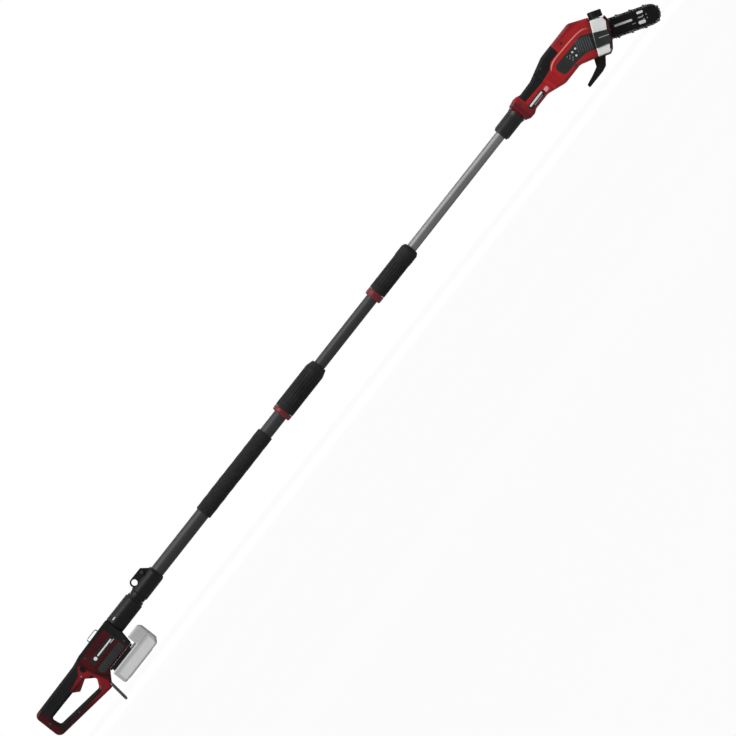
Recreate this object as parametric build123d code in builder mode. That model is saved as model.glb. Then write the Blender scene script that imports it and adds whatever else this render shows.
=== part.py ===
from build123d import *
import math
import os

# Telescoping pole saw. Millimetres, +Z up, +X from the handle toward the saw
# head, Y across. The origin is on the ground, under the middle of the tool,
# which lies as it does when put down: on its folding foot and its bar.

# ---------------------------------------------------------------- dimensions
AXIS_Z = 121.7            # height of the pole's centre line over the ground
X_REAR = -1039.45         # rear end of the D handle
X_HEAD = 600.55           # rear end of the head coupling
BAR_TILT = 32.0           # guide bar below the pole's direction, degrees

GRIP_HALF = 16.0          # half width of the D grip
BODY_HALF = 25.0          # half width of the handle housing
SKIN = 1.4                # thickness of the soft and clip-in skins
WALL = 3.0                # thickness of shells with their skin

LOWER_R, LOWER_BORE = 15.5, 14.0      # lower tube, 31 x 1.5
MIDDLE_R, MIDDLE_BORE = 13.6, 12.2    # middle tube, 27.2 x 1.4
UPPER_R, UPPER_BORE = 11.6, 10.4      # upper tube, 23.2 x 1.2
LOWER_START, LOWER_END = 228.0, 930.0      # measured from the handle's rear
MIDDLE_START, MIDDLE_END = 560.0, 1246.0
UPPER_START = 880.0

NECK_HALF = 20.0          # half width of the saw head's neck
HEAD_HALF = 30.0          # half width of the saw head's motor housing

BAR_Y0, BAR_Y1 = 10.0, 14.0           # faces of the guide bar
BAR_HALF = 19.8           # half width of the guide bar
NOSE_A = 96.5             # nose centre along the bar direction
BAR_B = 10.5              # bar centre line over the bar plane's origin
DRIVE_A = -33.0           # drive sprocket centre along the bar direction
STUD_A = -4.0             # stud that the cover's knob clamps the bar with
MOTOR_A, MOTOR_B = -68.0, 7.0         # motor axis in the bar plane
PACK_HALF = 38.0          # half width of the battery pack

c32, s32 = math.cos(math.radians(BAR_TILT)), math.sin(math.radians(BAR_TILT))

# Side view planes. Local x runs forward, local y up; +offset is toward -Y.
HP = Plane(origin=(X_REAR, 0, AXIS_Z), x_dir=(1, 0, 0), z_dir=(0, -1, 0))
DP = Plane(origin=(X_HEAD, 0, AXIS_Z), x_dir=(1, 0, 0), z_dir=(0, -1, 0))
BP = Plane(origin=(X_HEAD + 325.5, 0, AXIS_Z - 52.5),
           x_dir=(c32, 0, -s32), z_dir=(0, -1, 0))
POLE_AXIS = Axis((0, 0, AXIS_Z), (1, 0, 0))

os.makedirs("parts", exist_ok=True)


def save(part, name):
    part.label = name
    export_step(part, "parts/" + name + ".step")


def at_y(plane, y):
    """The same side view plane, moved across to y."""
    return plane.offset(-y)


def soften(edges, radii):
    """Round edges with the first radius that the shape can take."""
    for r in radii:
        try:
            fillet(edges, r)
            return r
        except Exception:
            continue
    return 0


def rounded_face(points):
    """Closed outline of (point, corner radius) pairs, as a face."""
    with BuildLine(Plane.XY) as outline:
        FilletPolyline(*[p for p, r in points], radius=[r for p, r in points],
                       close=True)
    make_face(outline.edges())


def ring(x0, rows, origin):
    """Solid of revolution about the pole: rows of (x, outer r), bore r."""
    with BuildPart() as body:
        with BuildSketch(origin) as sk:
            with BuildLine():
                Polyline(*rows, close=True)
            make_face()
        revolve(axis=POLE_AXIS)
    return body.part


# ------------------------------------------------------------------- handle
HANDLE = [((0, 14.4), 13), ((139.5, 16.3), 60), ((165, 20.5), 60),
          ((266, 23), 4), ((266, -22.5), 9), ((260, -50), 10),
          ((250, -62.5), 6), ((230.5, -62.5), 5), ((226, -51.5), 4),
          ((186, -51.5), 8), ((158, -80), 9), ((0, -58), 15)]
OPENING = [((21, -18.5), 5), ((133, -19.5), 6), ((153, -40.5), 6),
           ((139.5, -58), 8), ((24, -41.5), 7)]
CHEEK = [(157, 60), (157, -24), (166, -44), (176, -58), (300, -90), (300, 60)]


def handle_form(inset, grip, body, radii):
    """D handle with its opening, shrunk by inset all round."""
    with BuildSketch(HP) as gap:
        rounded_face(OPENING)
        if inset:
            offset(amount=inset, kind=Kind.ARC)
    with BuildSketch(HP) as side:
        rounded_face(HANDLE)
        if inset:
            offset(amount=-inset)
        add(gap.sketch_local, mode=Mode.SUBTRACT)
    with BuildSketch(HP) as cheek:
        rounded_face(HANDLE)
        if inset:
            offset(amount=-inset)
        with BuildLine():
            Polyline(*[(x + inset, z) for x, z in CHEEK[:4]], *CHEEK[4:],
                     close=True)
        make_face(mode=Mode.INTERSECT)
        add(gap.sketch_local, mode=Mode.SUBTRACT)
    with BuildPart() as narrow:
        extrude(side.sketch, amount=grip, both=True)
        ends = narrow.faces().filter_by(Axis.Y)
        soften(ends.edges(), radii)
    with BuildPart() as wide:
        extrude(cheek.sketch, amount=body, both=True)
        ends = wide.faces().filter_by(Axis.Y)
        soften(ends.edges(), radii)
    with BuildPart() as both:
        add(narrow.part)
        add(wide.part)
    return both.part


handle_full = handle_form(0, GRIP_HALF, BODY_HALF, (7, 6, 5, 4, 3))
handle_inner = handle_form(SKIN, GRIP_HALF - SKIN, BODY_HALF - SKIN,
                           (5.6, 5, 4, 3, 2))
handle_core = handle_form(WALL, GRIP_HALF - WALL, BODY_HALF - WALL,
                          (4, 3, 2, 1))

# Soft grip: the whole upper bar, a strip along the top and the front end.
GRIP_ZONE = [(18, 40), (21, -26), (88, -26), (93, -12), (130, -7), (146, 8),
             (160, 13), (246, 14), (248, -53), (290, -53), (290, 40)]
with BuildPart() as grip_zone:
    with BuildSketch(HP):
        with BuildLine():
            Polyline(*GRIP_ZONE, close=True)
        make_face()
    extrude(amount=60, both=True)

# Clip-in plates on both cheeks: a name strip and a ribbed insert below it.
with BuildPart() as badge_zone:
    with BuildSketch(HP):
        with Locations((209, -12.5)):
            RectangleRounded(74, 15, 3)
    extrude(amount=60, both=True)
with BuildPart() as insert_zone:
    with BuildSketch(HP):
        rounded_face([((165, -30), 6), ((245, -29), 2), ((245, -47), 2),
                      ((172, -46.5), 8)])
    extrude(amount=60, both=True)

with BuildPart() as grip_overmould:
    add(handle_full)
    add(handle_inner, mode=Mode.SUBTRACT)
    add(grip_zone.part, mode=Mode.INTERSECT)
    # pole bore through the front end
    with BuildSketch(Plane(origin=(X_REAR + 240, 0, AXIS_Z), z_dir=(1, 0, 0))):
        Circle(LOWER_R + 0.1)
    extrude(amount=40, mode=Mode.SUBTRACT)
with BuildPart() as badges:
    add(handle_full)
    add(handle_inner, mode=Mode.SUBTRACT)
    add(badge_zone.part, mode=Mode.INTERSECT)
with BuildPart() as inserts:
    add(handle_full)
    add(handle_inner, mode=Mode.SUBTRACT)
    add(insert_zone.part, mode=Mode.INTERSECT)
    extrude(amount=BODY_HALF + 1, mode=Mode.SUBTRACT) if False else None

# What stays inside the cavity: screw bosses and the rib that holds the pole.
H_SCREWS = [(9.5, -22, GRIP_HALF), (70, -56.5, GRIP_HALF),
            (146, -66, GRIP_HALF), (171, 6, BODY_HALF), (254, -37, BODY_HALF)]
with BuildPart() as handle_bosses:
    with BuildSketch(HP):
        with Locations(*[(x, z) for x, z, h in H_SCREWS]):
            Circle(4)
    extrude(amount=40, both=True)
    with BuildSketch(Plane(origin=(X_REAR + 236, 0, AXIS_Z), z_dir=(1, 0, 0))):
        Rectangle(80, 140)
    extrude(amount=9)
with BuildPart() as handle_cavity:
    add(handle_core)
    add(handle_bosses.part, mode=Mode.SUBTRACT)

FOOT_X, FOOT_Z = 163.0, -72.0     # pivot of the folding foot
PIN_X, PIN_Z = 134.0, -12.0       # trigger pivot
LOCK_X, LOCK_Z = 147.5, -4.0      # lock-off button

with BuildPart() as handle_holes:
    # pole bore
    with BuildSketch(Plane(origin=(X_REAR + LOWER_START, 0, AXIS_Z),
                           z_dir=(1, 0, 0))):
        Circle(LOWER_R)
    extrude(amount=60)
    # trigger slot in the floor of the grip
    with BuildSketch(HP):
        with Locations((115, -18)):
            Rectangle(49, 12)
    extrude(amount=6.4, both=True)
    # foot pivot, trigger pin, lock-off button
    with BuildSketch(HP):
        with Locations((FOOT_X, FOOT_Z)):
            Circle(2.1)
        with Locations((PIN_X, PIN_Z)):
            Circle(2.0)
    extrude(amount=60, both=True)
    with BuildSketch(at_y(HP, -10)):
        with Locations((LOCK_X, LOCK_Z)):
            SlotOverall(14.8, 9.8, rotation=90)
    extrude(amount=30)
    # screw heads and shanks, from the -Y side
    with BuildSketch(HP):
        with Locations(*[(x, z) for x, z, h in H_SCREWS]):
            Circle(1.5)
    extrude(amount=40)
    for x, z, h in H_SCREWS:
        with BuildSketch(at_y(HP, -(h - 3.4))):
            with Locations((x, z)):
                Circle(3.3)
        extrude(amount=20)
    # sockets of the hanging loop
    with BuildSketch(Plane(origin=(X_REAR, 0, AXIS_Z + 16), z_dir=(0, 0, 1))):
        with Locations((204, 0), (234, 0)):
            Circle(1.3)
    extrude(amount=12)
    # flat seat for the battery plate under the housing
    with BuildSketch(HP):
        with Locations((229, -61.4)):
            Rectangle(85, 20)
    extrude(amount=50, both=True)

with BuildPart() as near_half:
    with BuildSketch(HP):
        with Locations((140, -20)):
            Rectangle(340, 200)
    extrude(amount=80)
with BuildPart() as far_half:
    with BuildSketch(HP):
        with Locations((140, -20)):
            Rectangle(340, 200)
    extrude(amount=-80)

with BuildPart() as handle_shells:
    add(handle_full)
    add(grip_overmould.part, mode=Mode.SUBTRACT)
    add(badges.part, mode=Mode.SUBTRACT)
    add(inserts.part, mode=Mode.SUBTRACT)
    add(handle_cavity.part, mode=Mode.SUBTRACT)
    add(handle_holes.part, mode=Mode.SUBTRACT)
with BuildPart() as handle_shell_right:
    add(handle_shells.part)
    add(near_half.part, mode=Mode.INTERSECT)
with BuildPart() as handle_shell_left:
    add(handle_shells.part)
    add(far_half.part, mode=Mode.INTERSECT)
with BuildPart() as grip_skin:
    add(grip_overmould.part)
    add(handle_holes.part, mode=Mode.SUBTRACT)
save(handle_shell_right.part, "handle_shell_right")
save(handle_shell_left.part, "handle_shell_left")
save(grip_skin.part, "grip_overmould")
save(badges.part, "handle_badge_plates")
save(inserts.part, "handle_side_inserts")

# Housing screws: pan head in its recess, shank in its boss.
with BuildPart() as handle_screws:
    for x, z, h in H_SCREWS:
        with BuildSketch(at_y(HP, -(h - 3.3))):
            with Locations((x, z)):
                Circle(3.1)
        extrude(amount=2.2)
        with BuildSketch(HP):
            with Locations((x, z)):
                Circle(1.45)
        extrude(amount=h - 3.2)
        with BuildSketch(at_y(HP, -(h - 1.1 - 0.9))):
            with Locations((x, z)):
                Rectangle(4, 0.8)
                Rectangle(0.8, 4)
        extrude(amount=4, mode=Mode.SUBTRACT)
save(handle_screws.part, "handle_screws")

# Trigger: a toothed lever on a cross pin, with a pocket for its spring.
with BuildPart() as trigger:
    with BuildSketch(HP):
        rounded_face([((93.5, -8), 3), ((93.5, -19), 2), ((106.5, -31), 4),
                      ((128, -23.5), 8), ((137.5, -20.5), 2),
                      ((139, -8.5), 4)])
        with Locations((PIN_X, PIN_Z)):
            Circle(2.05, mode=Mode.SUBTRACT)
    extrude(amount=5.9, both=True)
    soften(trigger.edges().filter_by(GeomType.LINE).filter_by(
        Axis.Y, reverse=True), (1.5, 1, 0.6))
    with BuildSketch(HP):
        with Locations((PIN_X, PIN_Z)):
            Circle(5.4)
        with Locations((PIN_X, PIN_Z + 4)):
            Rectangle(10.8, 8)
    extrude(amount=2.6, both=True, mode=Mode.SUBTRACT)
save(trigger.part, "trigger")
with BuildPart() as trigger_pin:
    with BuildSketch(at_y(HP, 13.2)):
        with Locations((PIN_X, PIN_Z)):
            Circle(1.98)
    extrude(amount=26.4)
save(trigger_pin.part, "trigger_pin")
with BuildPart() as trigger_spring:
    for i in range(4):
        with BuildSketch(at_y(HP, 2.2 - 1.25 * i)):
            with Locations((PIN_X, PIN_Z)):
                Circle(4.6)
                Circle(3.4, mode=Mode.SUBTRACT)
        extrude(amount=0.9)
    with BuildSketch(at_y(HP, 2.2)):
        with Locations((PIN_X + 4.0, PIN_Z)):
            Rectangle(1.0, 2.0)
    extrude(amount=4.6)
save(trigger_spring.part, "trigger_spring")
with BuildPart() as lock_off_button:
    with BuildSketch(at_y(HP, -11.2)):
        with Locations((LOCK_X, LOCK_Z)):
            SlotOverall(14, 9, rotation=90)
    extrude(amount=7.2)
    soften(lock_off_button.faces().sort_by(Axis.Y)[0].edges(), (1.2, 0.8))
save(lock_off_button.part, "lock_off_button")

# Electrical parts inside the handle.
with BuildPart() as switch_module:
    with BuildSketch(at_y(HP, 8)):
        with Locations((112, 6.2)):
            RectangleRounded(36, 9.4, 1.2)
    extrude(amount=16)
    with BuildSketch(at_y(HP, 3)):
        with Locations((126, 0.6)):
            Rectangle(4, 3)
    extrude(amount=6)
save(switch_module.part, "switch_module")
with BuildPart() as controller_board:
    with BuildSketch(at_y(HP, 12)):
        with Locations((196, -38)):
            Rectangle(50, 1.6)
    extrude(amount=24)
    with BuildSketch(at_y(HP, 9)):
        with Locations((182, -34.7), (198, -34.2), (211, -35.2)):
            Rectangle(9, 5)
    extrude(amount=18)
save(controller_board.part, "controller_board")

# Battery plate: rails that the pack's tongue slides between.
with BuildPart() as battery_rail:
    with BuildSketch(at_y(HP, 23.8)):
        with Locations((222, -53.9)):
            Rectangle(71.4, 4.6)
    extrude(amount=47.6)
    for side in (-1, 1):
        with BuildSketch(Plane(origin=(X_REAR + 190, 0, AXIS_Z),
                               x_dir=(0, 1, 0), z_dir=(1, 0, 0))):
            with BuildLine():
                Polyline((side * 22, -52.2), (side * 33, -52.2),
                         (side * 33, -61.4), (side * 27, -61.4),
                         (side * 27, -59), (side * 30, -59),
                         (side * 30, -56.2), (side * 22, -56.2), close=True)
            make_face()
        extrude(amount=60)
    # the housing above keeps its own volume
    add(handle_shells.part, mode=Mode.SUBTRACT)
    add(inserts.part, mode=Mode.SUBTRACT)
save(battery_rail.part, "battery_rail")
with BuildPart() as battery_terminals:
    with BuildSketch(at_y(HP, 16)):
        with Locations((200, -58.4)):
            Rectangle(12, 4.2)
    extrude(amount=32)
    for y in (-11, -4, 4, 11):
        with BuildSketch(at_y(HP, y + 0.6)):
            with Locations((213, -58.4)):
                Rectangle(14.2, 3)
        extrude(amount=1.2)
save(battery_terminals.part, "battery_terminals")

# Wire loop on top for hanging the tool.
with BuildPart() as hanging_loop:
    with BuildLine(HP):
        FilletPolyline((204, 17), (204, 28.6), (234, 28.6), (234, 17),
                       radius=4)
    with BuildSketch(Plane(origin=(X_REAR + 204, 0, AXIS_Z + 17),
                           z_dir=(0, 0, 1))):
        Circle(1.25)
    sweep()
save(hanging_loop.part, "hanging_loop")

# Folding foot: bent wire, its ends turned in as pivots.
with BuildPart() as stand_foot:
    with BuildLine():
        FilletPolyline(
            HP.from_local_coords((FOOT_X, FOOT_Z, 9)),
            HP.from_local_coords((FOOT_X, FOOT_Z, 32)),
            HP.from_local_coords((157.5, -AXIS_Z + 2, 36)),
            HP.from_local_coords((157.5, -AXIS_Z + 2, -36)),
            HP.from_local_coords((FOOT_X, FOOT_Z, -32)),
            HP.from_local_coords((FOOT_X, FOOT_Z, -9)), radius=7)
    with BuildSketch(at_y(HP, -9)):
        with Locations((FOOT_X, FOOT_Z)):
            Circle(2.0)
    sweep()
save(stand_foot.part, "stand_foot")

# ------------------------------------------------------------- battery pack
with BuildPart() as pack_outer:
    with BuildSketch(HP):
        rounded_face([((184, -62), 5), ((266, -62), 1), ((266, -38), 3),
                      ((298, -38), 8), ((304, -46), 6), ((304, -87), 5),
                      ((293.5, -97.6), 6), ((184, -97.6), 7)])
    extrude(amount=PACK_HALF, both=True)
    ends = pack_outer.faces().filter_by(Axis.Y)
    soften(ends.edges(), (5, 4, 3, 2))
    # tongue with side grooves
    with BuildSketch(Plane(origin=(X_REAR + 191, 0, AXIS_Z), x_dir=(0, 1, 0),
                           z_dir=(1, 0, 0))):
        with BuildLine():
            Polyline((-29.6, -56.6), (29.6, -56.6), (29.6, -58.6),
                     (26.6, -58.6), (26.6, -63), (-26.6, -63),
                     (-26.6, -58.6), (-29.6, -58.6), close=True)
        make_face()
    extrude(amount=76)
    # terminal slots
    for y in (-11, -4, 4, 11):
        with BuildSketch(at_y(HP, y + 1.1)):
            with Locations((208, -59)):
                Rectangle(40, 8)
        extrude(amount=2.2, mode=Mode.SUBTRACT)
    with BuildSketch(at_y(HP, 17)):
        with Locations((199, -58.4)):
            Rectangle(18, 5.2)
    extrude(amount=34, mode=Mode.SUBTRACT)
    # cell bay
    with BuildSketch(HP):
        with Locations((243.5, -80)):
            Rectangle(110, 28)
    extrude(amount=34.5, both=True, mode=Mode.SUBTRACT)
    # latch pocket in the front face of the raised end
    with BuildSketch(Plane(origin=(X_REAR + 292, 0, AXIS_Z - 54),
                           x_dir=(0, 1, 0), z_dir=(1, 0, 0))):
        RectangleRounded(30.8, 13.8, 3.4)
    extrude(amount=20, mode=Mode.SUBTRACT)
save(pack_outer.part, "battery_case")
with BuildPart() as battery_cells:
    for i in range(5):
        with BuildSketch(at_y(HP, 32.5)):
            with Locations((203.5 + 20 * i, -80)):
                Circle(9.2)
        extrude(amount=65)
save(battery_cells.part, "battery_cells")
with BuildPart() as battery_latch_button:
    with BuildSketch(Plane(origin=(X_REAR + 295.6, 0, AXIS_Z - 54),
                           x_dir=(0, 1, 0), z_dir=(1, 0, 0))):
        RectangleRounded(30, 13, 3)
    extrude(amount=8.0)
    soften(battery_latch_button.faces().sort_by(Axis.X)[-1].edges(), (1.2, 0.8))
save(battery_latch_button.part, "battery_latch_button")

# --------------------------------------------------------------------- pole
save(ring(0, [(266.2, LOWER_R), (266.2, 21.5), (268, 22.5), (336, 22.3),
              (338, 20.2), (344, 19.6), (344, LOWER_R)], HP), "pole_socket")

with BuildPart() as strap_clamp:
    with BuildSketch(HP):
        with BuildLine():
            Polyline((345, 0), (345, 18.2), (353, 18.6), (356, 20.6),
                     (412, 20.2), (418, 18), (418, 0), close=True)
        make_face()
    revolve(axis=POLE_AXIS)
    with BuildSketch(HP):
        with Locations((368.5, 24)):
            Circle(10.6)
        with BuildLine():
            Polyline((359, 10), (359, 20), (368, 34.6), (401, 34.2),
                     (417, 15), (417, 10), close=True)
        make_face()
    extrude(amount=8, both=True)
    soften(strap_clamp.edges().filter_by(Axis.Y).filter_by(
        lambda e: e.center().Z > AXIS_Z + 30), (5, 3, 2))
    with BuildSketch(HP):
        with Locations((368.5, 24)):
            Circle(7)
    extrude(amount=30, both=True, mode=Mode.SUBTRACT)
    with BuildSketch(Plane(origin=(X_REAR + 340, 0, AXIS_Z), z_dir=(1, 0, 0))):
        Circle(LOWER_R)
    extrude(amount=90, mode=Mode.SUBTRACT)
    # slit and cross screw through the lug
    with BuildSketch(at_y(HP, 0.8)):
        with Locations((399, 22)):
            Rectangle(40, 30)
    extrude(amount=1.6, mode=Mode.SUBTRACT)
    with BuildSketch(HP):
        with Locations((396, 26)):
            Circle(2.1)
    extrude(amount=20, both=True, mode=Mode.SUBTRACT)
save(strap_clamp.part, "strap_clamp")
with BuildPart() as strap_clamp_screw:
    with BuildSketch(at_y(HP, 12)):
        with Locations((396, 26)):
            Circle(2.0)
    extrude(amount=20.2)
    with BuildSketch(at_y(HP, -8.2)):
        with Locations((396, 26)):
            Circle(3.8)
    extrude(amount=3.6)
    with BuildSketch(at_y(HP, -10.2)):
        with Locations((396, 26)):
            RegularPolygon(1.8, 6)
    extrude(amount=4, mode=Mode.SUBTRACT)
    with BuildSketch(at_y(HP, 12)):
        with Locations((396, 26)):
            RegularPolygon(4, 6)
    extrude(amount=3.8)
save(strap_clamp_screw.part, "strap_clamp_screw")

save(ring(0, [(LOWER_START, LOWER_BORE), (LOWER_START, LOWER_R),
              (LOWER_END, LOWER_R), (LOWER_END, LOWER_BORE)], HP), "lower_tube")
save(ring(0, [(582, LOWER_R), (582, 18), (584, 19.2), (802, 19.2), (804, 18),
              (804, LOWER_R)], HP), "foam_grip")
save(ring(0, [(MIDDLE_START, MIDDLE_BORE), (MIDDLE_START, MIDDLE_R),
              (MIDDLE_END, MIDDLE_R), (MIDDLE_END, MIDDLE_BORE)], HP),
     "middle_tube")
save(ring(0, [(MIDDLE_START - 9, 11), (MIDDLE_START - 9, 13.65),
              (MIDDLE_START - 0.1, 13.65), (MIDDLE_START - 0.1, 12.2),
              (MIDDLE_START + 20, 12.2), (MIDDLE_START + 20, 11)], HP),
     "middle_tube_bush")

# Upper tube with shallow grooves along it.
with BuildPart() as upper_tube:
    with BuildSketch(Plane(origin=(X_REAR + UPPER_START, 0, AXIS_Z),
                           z_dir=(1, 0, 0))):
        Circle(UPPER_R)
        Circle(UPPER_BORE, mode=Mode.SUBTRACT)
        with PolarLocations(UPPER_R, 6, start_angle=30):
            Rectangle(0.8, 1.8, mode=Mode.SUBTRACT)
    extrude(amount=1640 - UPPER_START + 20)
save(upper_tube.part, "upper_tube")
save(ring(0, [(UPPER_START - 9, 9.2), (UPPER_START - 9, 11.8),
              (UPPER_START - 0.1, 11.8), (UPPER_START - 0.1, 10.4),
              (UPPER_START + 20, 10.4), (UPPER_START + 20, 9.2)], HP),
     "upper_tube_bush")

# Lower twist lock: red ring and collet on the tube, sleeve that turns.
save(ring(0, [(857, LOWER_R), (857, 20.5), (859.5, 22.4), (867, 22.8),
              (869.5, 22.2), (869.5, LOWER_R)], HP), "lower_lock_ring")
save(ring(0, [(874, LOWER_R), (874, 18.3), (930.1, 18.3), (976, 16.2),
              (976, 14.0), (930.1, 14.0), (930.1, LOWER_R)], HP),
     "lower_lock_collet")
with BuildPart() as lower_lock_sleeve:
    with BuildSketch(HP):
        with BuildLine():
            Polyline((870, 18.8), (870, 22.4), (873, 23), (978, 23),
                     (983, 21.6), (995, 18), (995.5, 16), (995.5, 13.95),
                     (979, 13.95), (979, 16.8), (932, 18.8), close=True)
        make_face()
    revolve(axis=POLE_AXIS)
    with BuildSketch(Plane(origin=(X_REAR + 884, 0, AXIS_Z), z_dir=(1, 0, 0))):
        with PolarLocations(23.3, 18):
            Circle(1.3)
    extrude(amount=84, mode=Mode.SUBTRACT)
save(lower_lock_sleeve.part, "lower_lock_sleeve")

# Upper twist lock, on the middle tube.
save(ring(0, [(1183, MIDDLE_R), (1183, 18.2), (1186, 19.8), (1197, 20),
              (1199.5, 19.6), (1199.5, MIDDLE_R)], HP), "upper_lock_ring")
save(ring(0, [(1204, MIDDLE_R), (1204, 15.8), (1246.1, 15.8), (1300, 14.2),
              (1300, 12.0), (1246.1, 12.0), (1246.1, MIDDLE_R)], HP),
     "upper_lock_collet")
with BuildPart() as upper_lock_sleeve:
    with BuildSketch(HP):
        with BuildLine():
            Polyline((1200, 16.3), (1200, 19.4), (1202, 20), (1288, 20),
                     (1292, 20.8), (1315, 20.8), (1320, 18.5), (1323.5, 15.5),
                     (1323.5, 11.95), (1303, 11.95), (1303, 14.7),
                     (1248, 16.3), close=True)
        make_face()
    revolve(axis=POLE_AXIS)
    with BuildSketch(Plane(origin=(X_REAR + 1212, 0, AXIS_Z), z_dir=(1, 0, 0))):
        with PolarLocations(20.3, 16):
            Circle(1.2)
    extrude(amount=68, mode=Mode.SUBTRACT)
save(upper_lock_sleeve.part, "upper_lock_sleeve")

# Coiled lead inside the pole, drawn as its outer form.
save(ring(0, [(232, 3), (232, 7.5), (1150, 7.5), (1150, 3)], HP), "coiled_lead")

# ----------------------------------------------------------------- coupling
# Spigot fixed in the upper tube, nut that turns on it, contacts at its end.
with BuildPart() as tube_connector:
    with BuildSketch(DP):
        with BuildLine():
            Polyline((-30, 5), (-30, 10.4), (20.1, 10.4), (20.1, UPPER_R),
                     (2.2, UPPER_R), (2.2, 16.6), (10, 16.6), (10, 14.6),
                     (64, 14.6), (66, 13.8), (104, 13.8), (104, 5),
                     close=True)
        make_face()
    revolve(axis=POLE_AXIS)
with BuildPart() as connector_contacts:
    with BuildSketch(Plane(origin=(X_HEAD + 104, 0, AXIS_Z), z_dir=(1, 0, 0))):
        with PolarLocations(9, 3):
            Circle(1.5)
    extrude(amount=9)
with BuildPart() as connector_set:
    add(tube_connector.part)
    add(connector_contacts.part)
save(connector_set.part, "tube_connector")
with BuildPart() as coupling_nut:
    with BuildSketch(DP):
        with BuildLine():
            Polyline((0, 12), (0, 16.6), (6, 19.2), (50, 19.4), (54, 20.4),
                     (59, 21.2), (59, 18.0), (30, 18.0), (30, 15.0),
                     (12.4, 15.0), (12.4, 17.0), (1.6, 17.0), (1.6, 12),
                     close=True)
        make_face()
    revolve(axis=POLE_AXIS)
    with BuildSketch(Plane(origin=(X_HEAD + 9, 0, AXIS_Z), z_dir=(1, 0, 0))):
        with PolarLocations(19.9, 14):
            Circle(1.1)
    extrude(amount=37, mode=Mode.SUBTRACT)
save(coupling_nut.part, "coupling_nut")

# ----------------------------------------------------------------- saw head
HEAD = [((60, 23.5), 2), ((77, 26.5), 4), ((86, 25), 4), ((95, 20.5), 8),
        ((132, 21.5), 40), ((188, 36), 40), ((282, 36), 14),
        ((321.5, 8.5), 3), ((267, -63), 4), ((231, -42.5), 25),
        ((180, -42.5), 30), ((136.5, -26), 30), ((95, -26), 8),
        ((84, -30.5), 5), ((71, -29.5), 5), ((60, -23), 2)]
HEAD_CHEEK = [(152, 60), (147, -2), (160, -60), (400, -120), (400, 60)]


def head_form(inset, neck, body, radii):
    """Saw head housing, shrunk by inset all round."""
    with BuildSketch(DP) as side:
        rounded_face(HEAD)
        if inset:
            offset(amount=-inset)
    with BuildSketch(DP) as cheek:
        rounded_face(HEAD)
        if inset:
            offset(amount=-inset)
        with BuildLine():
            Polyline(*[(x + inset, z) for x, z in HEAD_CHEEK], close=True)
        make_face(mode=Mode.INTERSECT)
    with BuildPart() as narrow:
        extrude(side.sketch, amount=neck, both=True)
        ends = narrow.faces().filter_by(Axis.Y)
        soften(ends.edges(), radii)
    with BuildPart() as wide:
        extrude(cheek.sketch, amount=body, both=True)
        ends = wide.faces().filter_by(Axis.Y)
        soften(ends.edges(), radii)
    with BuildPart() as both:
        add(narrow.part)
        add(wide.part)
    return both.part


head_full = head_form(0, NECK_HALF, HEAD_HALF, (9, 8, 7, 6, 5, 4, 3))
head_inner = head_form(SKIN, NECK_HALF - SKIN, HEAD_HALF - SKIN,
                       (7.6, 6.6, 5.6, 5, 4, 3, 2))
head_core = head_form(WALL, NECK_HALF - WALL, HEAD_HALF - WALL,
                      (6, 5, 4, 3, 2, 1))

with BuildPart() as soft_zone:
    with BuildSketch(DP):
        with BuildLine():
            Polyline((90, 80), (90, 2), (145, -0.5), (178, 3.5), (194, 12.5),
                     (220, 13), (224, 80), close=True)
        make_face()
    extrude(amount=60, both=True)
with BuildPart() as panel_zone:
    with BuildSketch(DP):
        rounded_face([((187, -1), 10), ((226, -2), 4), ((279, -2.5), 12),
                      ((303, -20.5), 2), ((330, -60), 2), ((284, -56), 2),
                      ((276, -46), 6), ((257, -36.5), 12), ((231, -33), 12),
                      ((190, -31), 10)])
    extrude(amount=60, both=True)

# Gearbox: cast body with a pocket for the gears, closed by the bar plate.
GEARBOX = [((-82, -14), 8), ((-82, 22), 8), ((-64, 38), 8), ((-10, 43), 4),
           ((6.5, 31), 4), ((0.5, 6), 8), ((0, -11), 8), ((-6.5, -33), 8),
           ((-14, -42), 6), ((-43.2, -42), 2), ((-43.2, -30), 1),
           ((-60, -26), 8)]
with BuildPart() as gearbox_space:
    with BuildSketch(at_y(BP, 6)):
        rounded_face(GEARBOX)
        offset(amount=0.15)
    extrude(amount=13.7)
with BuildPart() as cover_space:
    with BuildSketch(at_y(BP, 5.8)):
        with BuildLine():
            Polyline((-67, -80), (-67, 90), (60, 90), (60, -80), close=True)
        make_face()
    extrude(amount=-60)

D_SCREWS = [(78.5, 6, NECK_HALF), (110, -18.5, NECK_HALF),
            (168, 22, HEAD_HALF), (240, 19.5, HEAD_HALF),
            (222, -36.5, HEAD_HALF)]
with BuildPart() as head_bosses:
    with BuildSketch(DP):
        with Locations(*[(x, z) for x, z, h in D_SCREWS[2:]]):
            Circle(4)
        with Locations((110, -18.5)):
            Circle(2.6)
    extrude(amount=50, both=True)
    with BuildSketch(Plane(origin=(X_HEAD + 60, 0, AXIS_Z), z_dir=(1, 0, 0))):
        Rectangle(100, 100)
    extrude(amount=50)
with BuildPart() as head_cavity:
    add(head_core)
    add(head_bosses.part, mode=Mode.SUBTRACT)
with BuildPart() as head_holes:
    # socket for the spigot
    with BuildSketch(DP):
        with BuildLine():
            Polyline((20, 0), (20, 15.0), (65.6, 15.0), (67, 14.15),
                     (114.2, 14.15), (114.2, 0), close=True)
        make_face()
    revolve(axis=POLE_AXIS)
    with BuildSketch(DP):
        with Locations(*[(x, z) for x, z, h in D_SCREWS if x != 78.5]):
            Circle(1.5)
    extrude(amount=50)
    for x, z, h in D_SCREWS:
        with BuildSketch(at_y(DP, -(h - 3.4))):
            with Locations((x, z)):
                Circle(3.3)
        extrude(amount=20)

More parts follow.
